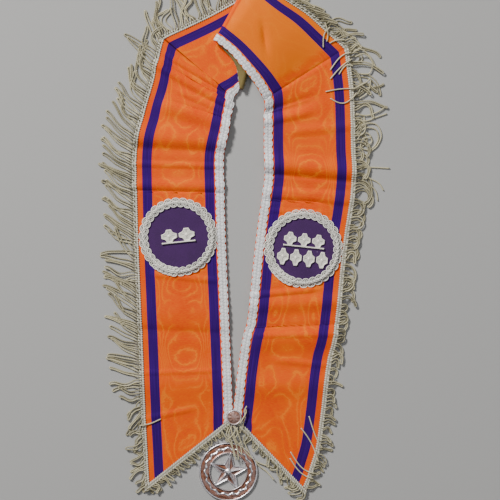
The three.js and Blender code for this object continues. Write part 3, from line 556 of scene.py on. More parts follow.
def neck_lines(table, lift_in, lift_out):
    """The inner and the outer end of each line of a neck table, at the heights given."""
    c = cloth()
    ends = []
    for end, lift in (("in", lift_in), ("out", lift_out)):
        x, y = (table[f"{end}_{axis}"] * c.ribbon_width for axis in "xy")
        ends.append(np.stack([x, y, lift + 0 * x], axis=1))
    return np.array(ends) + ORIGIN + [0, c.panel_length, 0]


def fold_arc(fold, low_lift, radius, side, face_out, steps):
    """Rows round a fold: the fold line shifted by radius * (sin t along its side, cos t upwards),
    for t from 0 to a half turn, with the normal along that shift."""
    line = neck_lines(fold, 0.0, 0.0)
    along = unit(line[1] - line[0])[0]
    aside = side * np.array([along[1], -along[0], 0])
    turn = np.linspace(0, math.pi, steps)[:, None]
    way = aside * np.sin(turn) + UP * np.cos(turn)
    return line + way * radius + UP * (low_lift + radius), way if face_out else -way


def smooth_rows(parts, count):
    """Rows on smooth curves through the ends of a few lines, without the first and last one."""
    lines = np.concatenate(parts, axis=1)
    knots = np.linspace(0, lines.shape[1] - 1, count + 1)[1:-1]
    return np.array([smooth_curve(line, knots) for line in lines])


# Rows over which the crown of the neck rises from the seam, and fades at the front fold
SWELL_ROWS, FADE_ROWS = 50, 12


def neck_band(start, end):
    """The neck band: from the right seam over the top layer, round the front fold into the hidden
    middle layer, round the back fold, and along the low layer to the left seam."""
    c = cloth()
    band_top = c.cloth_depth + TRIM_GAP + max(c.braid_depth, c.head_depth)
    middle_lift = 2 * band_top + 2 * TRIM_GAP
    top_lift = middle_lift + 2 * c.fold_radius
    front, front_way = fold_arc(NECK_FRONT_FOLD, middle_lift, c.fold_radius, -1, True, 14)
    back, back_way = fold_arc(NECK_BACK_FOLD, 0, middle_lift / 2, 1, False, 20)
    rises = [NECK_TOP[name] * top_lift for name in ("rise_in", "rise_out")]
    top = smooth_rows([start, neck_lines(NECK_TOP, *rises), front[:, :1]], 96)
    hidden = neck_lines(NECK_MIDDLE, middle_lift, middle_lift)
    middle = smooth_rows([front[:, -1:], hidden, back[:, :1]], 30)
    low = smooth_rows([back[:, -1:], neck_lines(NECK_LOW, 0.0, 0.0), end], 56)
    parts = [start, top, front, middle, back, low, end]
    unknown = np.full(3, np.nan)
    ways = [UP, unknown, front_way, -UP, back_way, unknown, UP]
    faces = np.concatenate(
        [np.broadcast_to(way, part[0].shape) for way, part in zip(ways, parts)])
    inner, outer = np.concatenate(parts, axis=1)
    swells = np.zeros(len(inner))
    count = top.shape[1]
    swells[1 : 1 + count] = 1
    swells[1 : 1 + SWELL_ROWS] *= np.sin(np.linspace(0, math.pi / 2, SWELL_ROWS)) ** 2
    swells[1 + count - FADE_ROWS : 1 + count] *= np.cos(np.linspace(0, math.pi / 2, FADE_ROWS))

    def relief(grid, shares):
        crown = c.neck_swell * np.sin(math.pi * shares) ** 2 * swells[:, None]
        dent = neck_dent(grid) * swells[:, None]
        return crown - dent - seam_dip(grid, True) - seam_dip(grid, False)

    band = Band(inner, outer, relief, faces)
    # Painted sheen on the top layer, full where the crown swells
    band.tone = ease(4 * swells)
    return band


# The dent in the top layer: its middle from the shoulder height above the button, as shares of the
# ribbon width, then its turn, depth, half length and half width
DENT_PLACE = (0.33, 0.3)
DENT_TURN = math.radians(100)
DENT_DEPTH, DENT_LENGTH, DENT_WIDTH = 2.6 * MM, 15 * MM, 3.6 * MM


def neck_dent(grid):
    """A soft dent in the top layer: depth * exp(-off^2) round a short slanting line."""
    c = cloth()
    x = grid[..., 0] - ORIGIN[0] - DENT_PLACE[0] * c.ribbon_width
    y = grid[..., 1] - ORIGIN[1] - c.panel_length - DENT_PLACE[1] * c.ribbon_width
    along = x * math.cos(DENT_TURN) + y * math.sin(DENT_TURN)
    across = -x * math.sin(DENT_TURN) + y * math.cos(DENT_TURN)
    return DENT_DEPTH * np.exp(-((along / DENT_LENGTH) ** 2) - (across / DENT_WIDTH) ** 2)


@cache
def bands():
    """The three bands, worked out once. The floor stops them softly: each height z becomes
    (z + sqrt(z^2 + e^2)) / 2."""
    right = panel_edges(RIGHT_SECTIONS, 1, PANEL_ROWS)
    left = panel_edges(LEFT_SECTIONS, -1, PANEL_ROWS)
    seams = []
    for edges, end, other in ((right, -1, -2), (left, 0, 1)):
        seams.append(np.array(
            [[edge[end] + unit(edge[end] - edge[other]) * SEAM_GAP] for edge in edges]))
    made = {
        "right": Band(*right, lambda grid, shares: (
            crease_rise([RIGHT_CREASES, RIGHT_WRINKLES], grid, shares) - seam_dip(grid, False))),
        "left": Band(*left, lambda grid, shares: (
            crease_rise([LEFT_CREASES, LEFT_WRINKLES], grid, shares) - seam_dip(grid, True))),
        "neck": neck_band(*seams),
    }
    for band in made.values():
        level = band.grid[..., 2]
        band.grid[..., 2] = (level + np.sqrt(level**2 + FLOOR_EASE**2)) / 2
    return made


class Surface:
    """Grids of points gathered before they become one mesh, each with a place for its pattern at
    every corner, a shade at every point and a finish."""

    def __init__(self):
        self.points = []
        self.faces = []
        self.places = []
        self.shades = []
        self.slots = []
        self.count = 0

    def add(self, points, faces, places, shade, slot=0):
        """Points, faces that number them from 0, and a place for each corner of each face."""
        points = np.asarray(points, float).reshape(-1, 3)
        self.points.append(points)
        self.faces.append(faces + self.count)
        self.places.append(places)
        self.shades.append(np.broadcast_to(shade, len(points)).astype(float))
        self.slots.append(np.full(len(faces), slot))
        self.count += len(points)

    def grid(self, points, us, vs, shade, closed=True, slot=0):
        """Copies of an n x m grid, as an array of k x n x m points. The m columns close round, and
        so do the n rows where told. us go with the columns and vs with the rows, and have one value
        more on a side that closes."""
        copies, rows, cols = points.shape[:3]
        faces, i, j = quads(rows, cols, (closed, True))
        shifts = np.arange(copies)[:, None, None] * rows * cols
        faces = (faces[None] + shifts).reshape(-1, 4)
        corner = np.tile(np.stack([us[j], vs[i]], axis=-1), (copies, 1, 1))
        shade = np.broadcast_to(shade, points.shape[:3]).reshape(-1)
        self.add(points, faces, corner, shade, slot)

    def ring(self, points, shade):
        """A closed section carried once round, with even shares for its pattern."""
        rows, cols = points.shape[:2]
        self.grid(points[None], even(cols), even(rows), shade)

    def shell(self, top, bottom, us, vs, shade, slots=(0, 0)):
        """Two grids closed into one skin, with the border of the top one used for both."""
        rows, cols = top.shape[:2]
        faces, i, j = quads(rows, cols, (False, False))
        number = np.arange(rows * cols).reshape(rows, cols)
        under = number.copy()
        inside = (rows - 2) * (cols - 2)
        under[1:-1, 1:-1] = rows * cols + np.arange(inside).reshape(rows - 2, cols - 2)
        corner = np.stack([us[j], vs[i]], axis=-1)
        shade = np.broadcast_to(shade, (rows, cols))
        points = np.concatenate([top.reshape(-1, 3), bottom[1:-1, 1:-1].reshape(-1, 3)])
        shades = np.concatenate([shade.reshape(-1), shade[1:-1, 1:-1].reshape(-1)])
        both = np.concatenate([faces[:, ::-1], under.reshape(-1)[faces]])
        self.add(points, both, np.concatenate([corner[:, ::-1], corner]), shades)
        self.slots[-1] = np.repeat(slots, len(faces))

    def tubes(self, paths, radius, sides=6, closed=False, up=UP, shade=1.0, slot=0):
        """Round tubes: each path point plus radius * (cos a * side + sin a * top), where side is
        the tangent x up and top is side x tangent. Open ends are closed by flat caps."""
        paths = np.asarray(paths, float)
        if paths.ndim == 2:
            paths = paths[None]
        if closed:
            tangent = np.roll(paths, -1, axis=1) - np.roll(paths, 1, axis=1)
        else:
            tangent = np.gradient(paths, axis=1)
        tangent = unit(tangent)
        side = unit(np.cross(tangent, up))
        top = np.cross(side, tangent)
        turn = 2 * math.pi * np.arange(sides) / sides
        radius = np.broadcast_to(radius, paths.shape[:2])[..., None, None]
        across, upward = np.cos(turn)[:, None], np.sin(turn)[:, None]
        ring = side[..., None, :] * across + top[..., None, :] * upward
        points = paths[..., None, :] + ring * radius
        steps = np.linalg.norm(np.diff(paths[0], axis=0), axis=-1).mean()
        vs = np.arange(paths.shape[1] + 1) * steps
        before = self.count
        self.grid(points, even(sides), vs, shade, closed, slot)
        if closed:
            return
        copies, rows = paths.shape[:2]
        caps = np.array(CAPS[sides])
        starts = before + np.arange(copies)[:, None, None] * rows * sides
        first = (caps[None] + starts).reshape(-1, 4)
        last = (caps[None, :, ::-1] + starts + (rows - 1) * sides).reshape(-1, 4)
        faces = np.concatenate([first, last])
        self.faces.append(faces)
        self.places.append(np.zeros((len(faces), 4, 2)))
        self.slots.append(np.full(len(faces), slot))

    def make(self, name, finishes, node, slot):
        """One smooth mesh object with the finishes given, which rides on the root body and takes
        the place of a node of the frame."""
        mesh = bpy.data.meshes.new(name)
        faces = np.concatenate(self.faces)
        mesh.from_pydata(np.concatenate(self.points), [], faces)
        layer = mesh.uv_layers.new(name="UVMap")
        layer.data.foreach_set("uv", np.concatenate(self.places).reshape(-1))
        shade = mesh.attributes.new("shade", "FLOAT", "POINT")
        shade.data.foreach_set("value", np.concatenate(self.shades))
        mesh.polygons.foreach_set("use_smooth", np.ones(len(faces), bool))
        mesh.polygons.foreach_set("material_index", np.concatenate(self.slots).astype(np.int32))
        for finish in finishes:
            mesh.materials.append(finish)
        mesh.validate()
        mesh.update()
        piece = bpy.data.objects.new(name, mesh)
        bpy.context.scene.collection.objects.link(piece)
        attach(piece, "root")
        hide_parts(node)


CAPS = {
    6: [(0, 1, 2, 3), (0, 3, 4, 5)],
    8: [(0, 1, 2, 7), (2, 3, 6, 7), (3, 4, 5, 6)],
}


def quads(rows, cols, loops):
    """Faces of a grid, and the row and column steps at each of their corners."""
    i, j = np.meshgrid(
        np.arange(rows - (not loops[0])), np.arange(cols - (not loops[1])), indexing="ij")
    i, j = i.reshape(-1), j.reshape(-1)
    corner_i = np.stack([i, i + 1, i + 1, i], axis=1)
    corner_j = np.stack([j, j, j + 1, j + 1], axis=1)
    faces = (corner_i % rows) * cols + corner_j % cols
    return faces, corner_i, corner_j


class Recipe:
    """A material, and the nodes that make it."""

    def __init__(self, name, **settings):
        self.material = bpy.data.materials.new(name)
        self.material.use_nodes = True
        self.tree = self.material.node_tree
        self.shader = self.tree.nodes["Principled BSDF"]
        for socket, value in settings.items():
            name = socket.replace("_", " ")
            self.shader.inputs[name].default_value = value

    def node(self, kind, **settings):
        node = self.tree.nodes.new(kind)
        for name, value in settings.items():
            setattr(node, name, value)
        return node

    def put(self, value, socket):
        if isinstance(value, bpy.types.NodeSocket):
            self.tree.links.new(value, socket)
        elif hasattr(value, "__len__") and len(value) == 3 and socket.type == "RGBA":
            socket.default_value = (*value, 1)
        else:
            socket.default_value = value

    def sum(self, operation, *values, clamp=False):
        node = self.node("ShaderNodeMath", operation=operation, use_clamp=clamp)
        for value, socket in zip(values, node.inputs):
            self.put(value, socket)
        return node.outputs[0]

    def times(self, first, second, clamp=False):
        return self.sum("MULTIPLY", first, second, clamp=clamp)

    def scaled(self, value, factor, added, clamp=False):
        return self.sum("MULTIPLY_ADD", value, factor, added, clamp=clamp)

    def between(self, value, low, high, start=0.0, end=1.0):
        """Smooth step of a value from low to high, mapped to start to end."""
        node = self.node("ShaderNodeMapRange", interpolation_type="SMOOTHSTEP")
        for given, socket in zip((value, low, high, start, end), node.inputs):
            self.put(given, socket)
        return node.outputs[0]

    def mix(self, factor, first, second):
        node = self.node("ShaderNodeMix", data_type="RGBA")
        self.put(factor, node.inputs[0])
        self.put(first, node.inputs[6])
        self.put(second, node.inputs[7])
        return node.outputs[2]

    def vector(self, x, y, z=0.0):
        node = self.node("ShaderNodeCombineXYZ")
        for value, socket in zip((x, y, z), node.inputs):
            self.put(value, socket)
        return node.outputs[0]

    def noise(self, place, scale, detail=2.0, distortion=0.0):
        node = self.node("ShaderNodeTexNoise")
        self.put(place, node.inputs["Vector"])
        self.put(scale, node.inputs["Scale"])
        self.put(detail, node.inputs["Detail"])
        self.put(distortion, node.inputs["Distortion"])
        return node.outputs["Fac"]

    def cells(self, x, across, y, along, detail=1.0, z=0.0):
        """Noise with so many cells across for each unit of x, and along for each unit of y."""
        place = self.vector(self.times(x, across), self.times(y, along), z)
        return self.noise(place, 1.0, detail)

    def across_along(self):
        """The two values of the piece's own map."""
        node = self.node("ShaderNodeSeparateXYZ")
        self.put(self.node("ShaderNodeUVMap", uv_map="UVMap").outputs[0], node.inputs[0])
        return node.outputs[0], node.outputs[1]

    def place(self):
        return self.node("ShaderNodeTexCoord").outputs["Object"]

    def shade(self):
        return self.node("ShaderNodeAttribute", attribute_name="shade").outputs["Fac"]

    def bump(self, height, strength, distance):
        node = self.node("ShaderNodeBump")
        self.put(strength, node.inputs["Strength"])
        self.put(distance, node.inputs["Distance"])
        self.put(height, node.inputs["Height"])
        self.put(node.outputs[0], self.shader.inputs["Normal"])

    def paint(self, socket, value):
        self.put(value, self.shader.inputs[socket])
        return self.material


def share_of(length):
    """A length across the cloth as a share of its width."""
    return length / cloth().ribbon_width


def stripe_edges():
    """Shares between which the inner and the outer stripe lie."""
    c = cloth()
    inner = share_of(c.braid_width + c.stripe_inset)
    outer = 1 - share_of(c.head_width + c.stripe_margin)
    return (inner, inner + share_of(c.stripe_width)), (outer - share_of(c.stripe_width), outer)


def toned(tint, share):
    """A colour made darker or lighter by a share."""
    return tuple(share * value for value in tint)


# Distance between the woven ribs, softness of a stripe's edge as a share of the cloth's width, and
# the colour of the painted shade along a sewn seam
RIB_PITCH = 0.75 * MM
STRIPE_EDGE = 0.0022
PAINTED_SEAM_SHADE = (0.02, 0.004, 0.004)


def ribbon_finish():
    """Moire cloth: watered lines are the levels of 32 x^2 + 8 y and three noises, of (x^2, y), of
    (x, y) and a fine ragged one, where x is the share from the middle of the cloth and y the
    length. They lie over fine ribs across it, with two stripes woven in. The shade attribute paints
    a lighter sheen on the ground where the neck band lies on top, and below zero paints a dark
    shade along the sewn seams."""
    tint = colours()
    r = Recipe("moire_ribbon", Roughness=0.5, Specular_IOR_Level=0.05)
    share, along = r.across_along()
    from_middle = r.sum("ABSOLUTE", r.sum("SUBTRACT", share, 0.5))
    square = r.times(from_middle, from_middle)
    figure = r.scaled(square, 32.0, r.times(along, 8.0))
    figure = r.scaled(r.cells(square, 9.0, along, 17.0), 11.0, figure)
    figure = r.scaled(r.cells(share, 4.0, along, 14.0, z=5.0), 1.6, figure)
    figure = r.scaled(r.cells(share, 30.0, along, 420.0), 0.5, figure)
    rings = r.sum("PINGPONG", figure, 0.5)
    lines = r.between(rings, 0.32, 0.48)
    glow = r.times(r.between(rings, 0.0, 0.5), 0.35)
    patches = r.between(r.cells(share, 3.0, along, 27.0), 0.28, 0.55)
    fade = r.between(from_middle, 0.24, 0.31, 1.0, 0.15)
    water = r.times(r.sum("MAXIMUM", lines, glow), r.times(patches, fade))
    weft = r.cells(share, 26.0, along, 1300.0, 2.0)
    cloud = r.cells(share, 3.0, along, 24.0, 3.0)
    ground = r.mix(r.between(cloud, 0.3, 0.7), tint.orange_deep, tint.orange)
    ground = r.mix(r.times(r.between(weft, 0.35, 0.75), 0.35), ground, tint.orange_pale)
    ground = r.mix(r.times(water, 0.85), ground, tint.orange_pale)
    # Painted sheen: a lighter ground where the shade attribute is above zero, on the top layer of
    # the neck band
    ground = r.mix(r.times(r.shade(), 0.8, clamp=True), ground, tint.painted_sheen)
    warp = r.cells(share, 420.0, along, 16.0, 2.0)
    stripe = r.mix(r.between(warp, 0.3, 0.72), tint.violet_deep, tint.violet)
    masks = []
    for start, end in stripe_edges():
        rise = r.between(share, start - STRIPE_EDGE, start + STRIPE_EDGE)
        fall = r.between(share, end - STRIPE_EDGE, end + STRIPE_EDGE, 1.0, 0.0)
        masks.append(r.times(rise, fall))
    # Painted shade: where the shade attribute is below zero, along the sewn seams, the cloth is
    # mixed to a dark colour
    seam = r.times(r.shade(), -0.8, clamp=True)
    woven = r.mix(r.sum("MAXIMUM", *masks), ground, stripe)
    r.paint("Base Color", r.mix(seam, woven, PAINTED_SEAM_SHADE))
    ribs = r.sum("SINE", r.times(along, 2 * math.pi / RIB_PITCH))
    r.bump(r.sum("ADD", r.times(ribs, 0.5), weft), 0.22, 0.12 * MM)
    return r.paint("Roughness", r.between(r.sum("ADD", weft, water), 0.2, 1.6, 0.68, 0.5))


def lining_finish():
    """Plain satin with fine threads along it and soft cloudy wear."""
    # The lining colour holds painted shade: it is darkened for the shadow that it lies in
    tint = colours().lining
    r = Recipe("satin_lining", Roughness=0.34, Sheen_Weight=0.2)
    share, along = r.across_along()
    warp = r.cells(share, 300.0, along, 30.0, 2.0)
    cloud = r.noise(r.place(), 30.0, 3.0)
    worn = r.mix(r.between(cloud, 0.3, 0.7), toned(tint, 0.55), tint)
    r.bump(warp, 0.15, 0.1 * MM)
    return r.paint("Base Color", r.mix(r.between(warp, 0.45, 0.8), worn, toned(tint, 1.25)))


def thread_finish(name, bright, shadow, twist, scale):
    """Wound metal thread: the shade attribute paints shade into the grooves, and fine slanting
    windings run round each cord, twist times for each turn round it and one winding every scale
    along it."""
    r = Recipe(name, Roughness=0.42, Specular_IOR_Level=0.6)
    around, along = r.across_along()
    phase = r.sum("ADD", r.times(around, twist), r.sum("DIVIDE", along, scale))
    wound = r.sum("SINE", r.times(phase, 2 * math.pi))
    grain = r.noise(r.place(), 900.0, 2.0)
    worn = r.noise(r.place(), 55.0, 3.0)
    light = r.scaled(wound, 0.16, r.scaled(grain, 0.3, 0.86))
    light = r.times(light, r.between(worn, 0.25, 0.6, 0.75, 1.1), clamp=True)
    light = r.times(light, r.shade(), clamp=True)
    r.bump(r.scaled(wound, 0.5, grain), 0.4, 0.2 * MM)
    return r.paint("Base Color", r.mix(light, shadow, bright))


def felt_finish():
    """Felt: short tangled fibres from two noises, and a few specks of lint."""
    tint = colours().felt
    r = Recipe("violet_felt", Roughness=0.95, Sheen_Weight=0.15, Sheen_Roughness=0.6)
    fibres = r.noise(r.place(), 1500.0, 4.0, 1.5)
    cloud = r.noise(r.place(), 60.0, 3.0)
    lint = r.between(r.noise(r.place(), 210.0, 1.0), 0.795, 0.81)
    tone = r.mix(r.between(r.scaled(cloud, 0.5, fibres), 0.45, 1.0), toned(tint, 0.6), tint)
    r.bump(fibres, 0.5, 0.3 * MM)
    return r.paint("Base Color", r.mix(lint, tone, (0.32, 0.24, 0.42)))


def cast_finish(name, bright, painted_hollow, roughness, metallic=1.0):
    """Cast metal: the shade attribute mixes from a painted dark in the hollows to the metal's own
    colour on the high parts, with small scratches and cloudy tarnish. On the ornaments that dark is
    painted shade; on the pendant and the button it is a painted warm reflection."""
    r = Recipe(name, Metallic=metallic, Roughness=roughness)
    cloud = r.noise(r.place(), 160.0, 3.0)
    pits = r.noise(r.place(), 1400.0, 2.0)
    tarnish_and_painted_light = r.scaled(cloud, 0.7, r.sum("SUBTRACT", r.shade(), 0.34), clamp=True)
    r.bump(r.scaled(cloud, 0.6, pits), 0.18, 0.15 * MM)
    r.paint("Roughness", r.scaled(cloud, 0.2, roughness - 0.08))
    return r.paint("Base Color", r.mix(tarnish_and_painted_light, painted_hollow, bright))


def floor_finish():
    """Plain pale floor with a very fine grain."""
    r = Recipe("pale_floor", Roughness=0.9)
    tint = colours().floor
    return r.paint("Base Color", r.mix(r.noise(r.place(), 900.0, 3.0), toned(tint, 0.94), tint))


class SASH_OT_cloth(bpy.types.Operator):
    """Build the two hanging bands, the folded neck band and its lining"""

    bl_idname = "sash.cloth"
    bl_label = "Cloth bands"

    def execute(self, context):
        c = cloth()
        ribbon, lining = ribbon_finish(), lining_finish()
        for name, band in bands().items():
            foot = c.lining_depth + TRIM_GAP if name == "neck" else 0.0
            under = 0 if name == "neck" else 1
            wall = cloth_wall(band, SEWN_ENDS[name], foot, c.cloth_depth, (0, under))
            wall.make(f"cloth_{name}", [ribbon, lining], f"ribbon_{name}", "ribbon")
        wall = cloth_wall(bands()["neck"], SEWN_ENDS["neck"], 0.0, c.lining_depth, (0, 0))
        wall.make("cloth_lining_neck", [lining], "lining_neck", "lining")
        return {"FINISHED"}


# Steps from the border of a cloth wall inwards, the share of its thickness there, and half the
# width of the painted shade along a sewn seam
RIM_STEPS = np.array([0, 0.35, 1.0]) * MM
RIM_DEPTHS = np.array([0, 0.72, 1.0])
SEAM_WIDTH = 0.95 * MM
# Which ends of each band are sewn to the next one
SEWN_ENDS = {"right": (0, 1), "neck": (1, 1), "left": (1, 0)}


def cloth_wall(band, sewn_ends, foot, top, slots):
    """A closed skin that follows a band between two heights. Its heights draw together at the
    border: half way at the very edge, and full from 1 mm inside it. Its shade carries the band's
    painted sheen, and a painted shade along each sewn end."""
    inner_shares = share_of(RIM_STEPS)
    middle = np.linspace(0, 1, 61)[2:-2]
    shares = np.concatenate([inner_shares, middle, 1 - inner_shares[::-1]])
    across = np.concatenate([RIM_DEPTHS, np.ones(len(middle)), RIM_DEPTHS[::-1]])
    last = band.rows - 1
    ends = RIM_STEPS / (band.length() / last)
    places = np.concatenate([ends, np.arange(1, last), last - ends[::-1]])
    along = np.concatenate([RIM_DEPTHS, np.ones(last - 1), RIM_DEPTHS[::-1]])
    half = (top - foot) / 2 * (along[:, None] * across)
    above, below = (
        band.on(places[:, None], shares, (foot + top) / 2 + side * half) for side in (1, -1))
    walked = np.interp(places, np.arange(band.rows), band.line(0.5)[1])
    # The painted sheen of the band, less a painted shade along each sewn end
    tone = np.interp(places, np.arange(band.rows), band.tone)
    for sewn, end in zip(sewn_ends, (walked[0], walked[-1])):
        tone = tone - sewn * 1.3 * np.exp(-(((walked - end) / SEAM_WIDTH) ** 2))
    surface = Surface()
    surface.shell(above, below, shares, walked, tone[:, None], slots)
    return surface


class SASH_OT_braid(bpy.types.Operator):
    """Sew the flat silver braid along the inner edges"""

    bl_idname = "sash.braid"
    bl_label = "Inner braid"

    def execute(self, context):
        tint = colours()
        finish = thread_finish(
            "silver_braid", tint.silver_thread, tint.thread_shade, 3.0, 1.9 * MM)
        for name, band in bands().items():
            braid = edge_braid(band, TRIM_ENDS[name])
            braid.make(f"edge_braid_{name}", [finish], f"braid_{name}", "braid")
        return {"FINISHED"}


# Height of a trim's under side above the cloth, and radius of the cord that binds the braid
TRIM_FOOT = 0.05 * MM
BINDING_RADIUS = 0.6 * MM
# Share of the cloth's width at which the braid's steps are told off, the steps of braid, binding
# and fringe head, and the distance between two ribs of the head
BRAID_LINE = 0.05
BRAID_STEP, BINDING_STEP, HEAD_STEP = 0.55 * MM, 0.6 * MM, 0.5 * MM
HEAD_RIB = 2.5 * MM
# Lengths at each end of a band that its trims leave free
TRIM_ENDS = {"right": (6.8 * MM, 0.0), "neck": (0.0, 0.0), "left": (0.0, 6.8 * MM)}


def trim_span(band, share, ends):
    """First and last place of a trim along the line at one share."""
    walked = band.line(share)[1]
    lengths = [ends[0], walked[-1] - ends[1]]
    return np.interp(lengths, walked, np.arange(band.rows))


def edge_braid(band, ends):
    """The braid: two broad ridges and a fine one, |sin(2 pi w)| and a narrow bump at w = 1/2, over
    its width w. Along it they swell into beads, |sin(2 pi s / pitch)|. Its two edges go in and out
    in scallops, |sin(pi s / pitch)|, bound by a cord on each side."""
    c = cloth()
    start, end = trim_span(band, BRAID_LINE, ends)
    places, along = band.places(BRAID_LINE, BRAID_STEP, start, end)
    width = share_of(c.braid_width)
    w = np.linspace(0, 1, 17)
    scallop = np.abs(np.sin(math.pi * along / c.braid_pitch)) ** 0.6
    core = 0.58 + 0.27 * scallop[:, None]
    share = width * (0.5 + (w[None, :] - 0.5) * core)
    ridge = np.abs(np.sin(2 * math.pi * w)) ** 0.8
    middle = np.exp(-(((w - 0.5) / 0.05) ** 2))
    phase = 2 * math.pi * along[:, None] / c.braid_pitch + np.where(w > 0.5, 0.8, 0)
    beads = np.abs(np.sin(phase)) ** 0.7
    dots = np.abs(np.cos(1.5 * phase))
    edge = ease(np.minimum(w, 1 - w) * 9)
    foot = c.cloth_depth + TRIM_FOOT
    swell = 0.75 * ridge * (0.4 + 0.6 * beads) + 0.45 * middle * dots
    height = foot + edge * (0.4 * c.braid_depth + swell * MM)
    top = band.on(places[:, None], share, height)
    bottom = band.on(places[:, None], share, foot)
    # Painted shade: dark between the ridges and beads, lightest on their tops
    shade = np.clip(0.2 + 1.1 * ridge * (0.4 + 0.6 * beads) + 0.8 * middle * dots, 0, 1)
    surface = Surface()
    surface.shell(top, bottom, w, along, shade)
    fine, walked = band.places(BRAID_LINE, BINDING_STEP, start, end)
    arch = np.abs(np.sin(math.pi * walked / c.braid_pitch)) ** 0.6
    reach = 0.5 * c.braid_width * (0.62 + 0.36 * arch) - BINDING_RADIUS
    for side in (-1, 1):
        share = share_of(0.5 * c.braid_width + side * reach)
        path = band.on(fine, share, foot + BINDING_RADIUS)
        # Painted shade on the binding cord where the scallops draw in
        surface.tubes(path, BINDING_RADIUS, shade=0.7 + 0.3 * arch[None, :, None])
    return surface


class SASH_OT_fringe(bpy.types.Operator):
    """Sew the looped bullion fringe and its head along the outer edges"""

    bl_idname = "sash.fringe"
    bl_label = "Bullion fringe"

    def execute(self, context):
        tint = colours()
        head = thread_finish("fringe_head", tint.head_thread, tint.cord_shade, 2.0, 1.6 * MM)
        cord = thread_finish("bullion_cord", tint.cord, tint.cord_shade, 1.0, 2.4 * MM)
        stretches = {name: (band, TRIM_ENDS[name]) for name, band in bands().items()}
        stretches["point_right"] = (point_band("right"), (0.0, 0.0))
        stretches["point_left"] = (point_band("left"), (0.0, 0.0))
        for number, (name, (band, ends)) in enumerate(stretches.items()):
            surface = Surface()
            fringe_head(surface, name, band, ends)
            fringe_loops(surface, name, band, ends, number)
            surface.make(f"bullion_fringe_{name}", [head, cord], f"fringe_{name}", "fringe")
        return {"FINISHED"}


# Rows of points along a slanting end, and rows of its band between that end and the line inside it
POINT_ROWS = 80
POINT_DEPTH = 6


def point_band(side):
    """The strip of cloth under the head along a slanting end: the end line of a band, and a line
    one head width inside it. Its own inner edge is the inside line."""
    band = bands()[side]
    end, inward, way = (0.0, 1, 1) if side == "right" else (band.rows - 1.0, -1, -1)
    shares = np.linspace(0.01, 1, POINT_ROWS)[::way]
    outer = band.on(end, shares, 0.0)
    deep = band.on(end + inward * POINT_DEPTH, shares, 0.0)
    walk = unit(outer[-1] - outer[0])
    square = np.array([walk[1], -walk[0], 0])
    distance = -((deep - outer) @ square)[:, None]
    inner = outer + (deep - outer) * cloth().head_width / distance
    return Band(inner, outer, lambda grid, shares: np.zeros(grid.shape[:2]))


def fringe_head(surface, name, band, ends):
    """The head: two columns of cross ribs, |sin(2 pi w)| over its width times sin(2 pi s / rib)
    along it, whose inner edge is toothed by the same ribs."""
    c = cloth()
    is_point = name.startswith("point")
    width = 1.0 if is_point else share_of(c.head_width)
    start, end = trim_span(band, 1.0, ends)
    places, along = band.places(1.0, HEAD_STEP, start, end)
    w = np.linspace(0, 1, 9)
    wave = 2 * math.pi * along[:, None] / HEAD_RIB + np.where(w > 0.5, 0.9, 0)
    rib = 0.5 + 0.5 * np.sin(wave)
    tooth = 0.13 * (1 - rib) * (1 - w[None, :]) ** 2
    share = 1 - width * (1 - w[None, :] - tooth) + 0.006 * width
    ridge = np.abs(np.sin(2 * math.pi * w)) ** 0.7
    edge = np.where((w > 0) & (w < 1), 1.0, 0.0)
    foot = c.cloth_depth + TRIM_FOOT
    height = foot + edge * (0.4 * c.head_depth + ridge * (0.25 + 0.5 * rib) * MM)
    top = band.on(places[:, None], share, height)
    bottom = band.on(places[:, None], share, foot)
    # Painted shade between the ribs, lightest on their tops
    shade = np.clip(0.25 + 0.3 * ridge + 0.75 * ridge * rib, 0, 1)
    surface.shell(top, bottom, w, along, shade)


# Points along each leg of a loop, and how far inside the edge the loops are rooted
LEG_STEPS = 26
LOOP_ROOT = 2.0 * MM


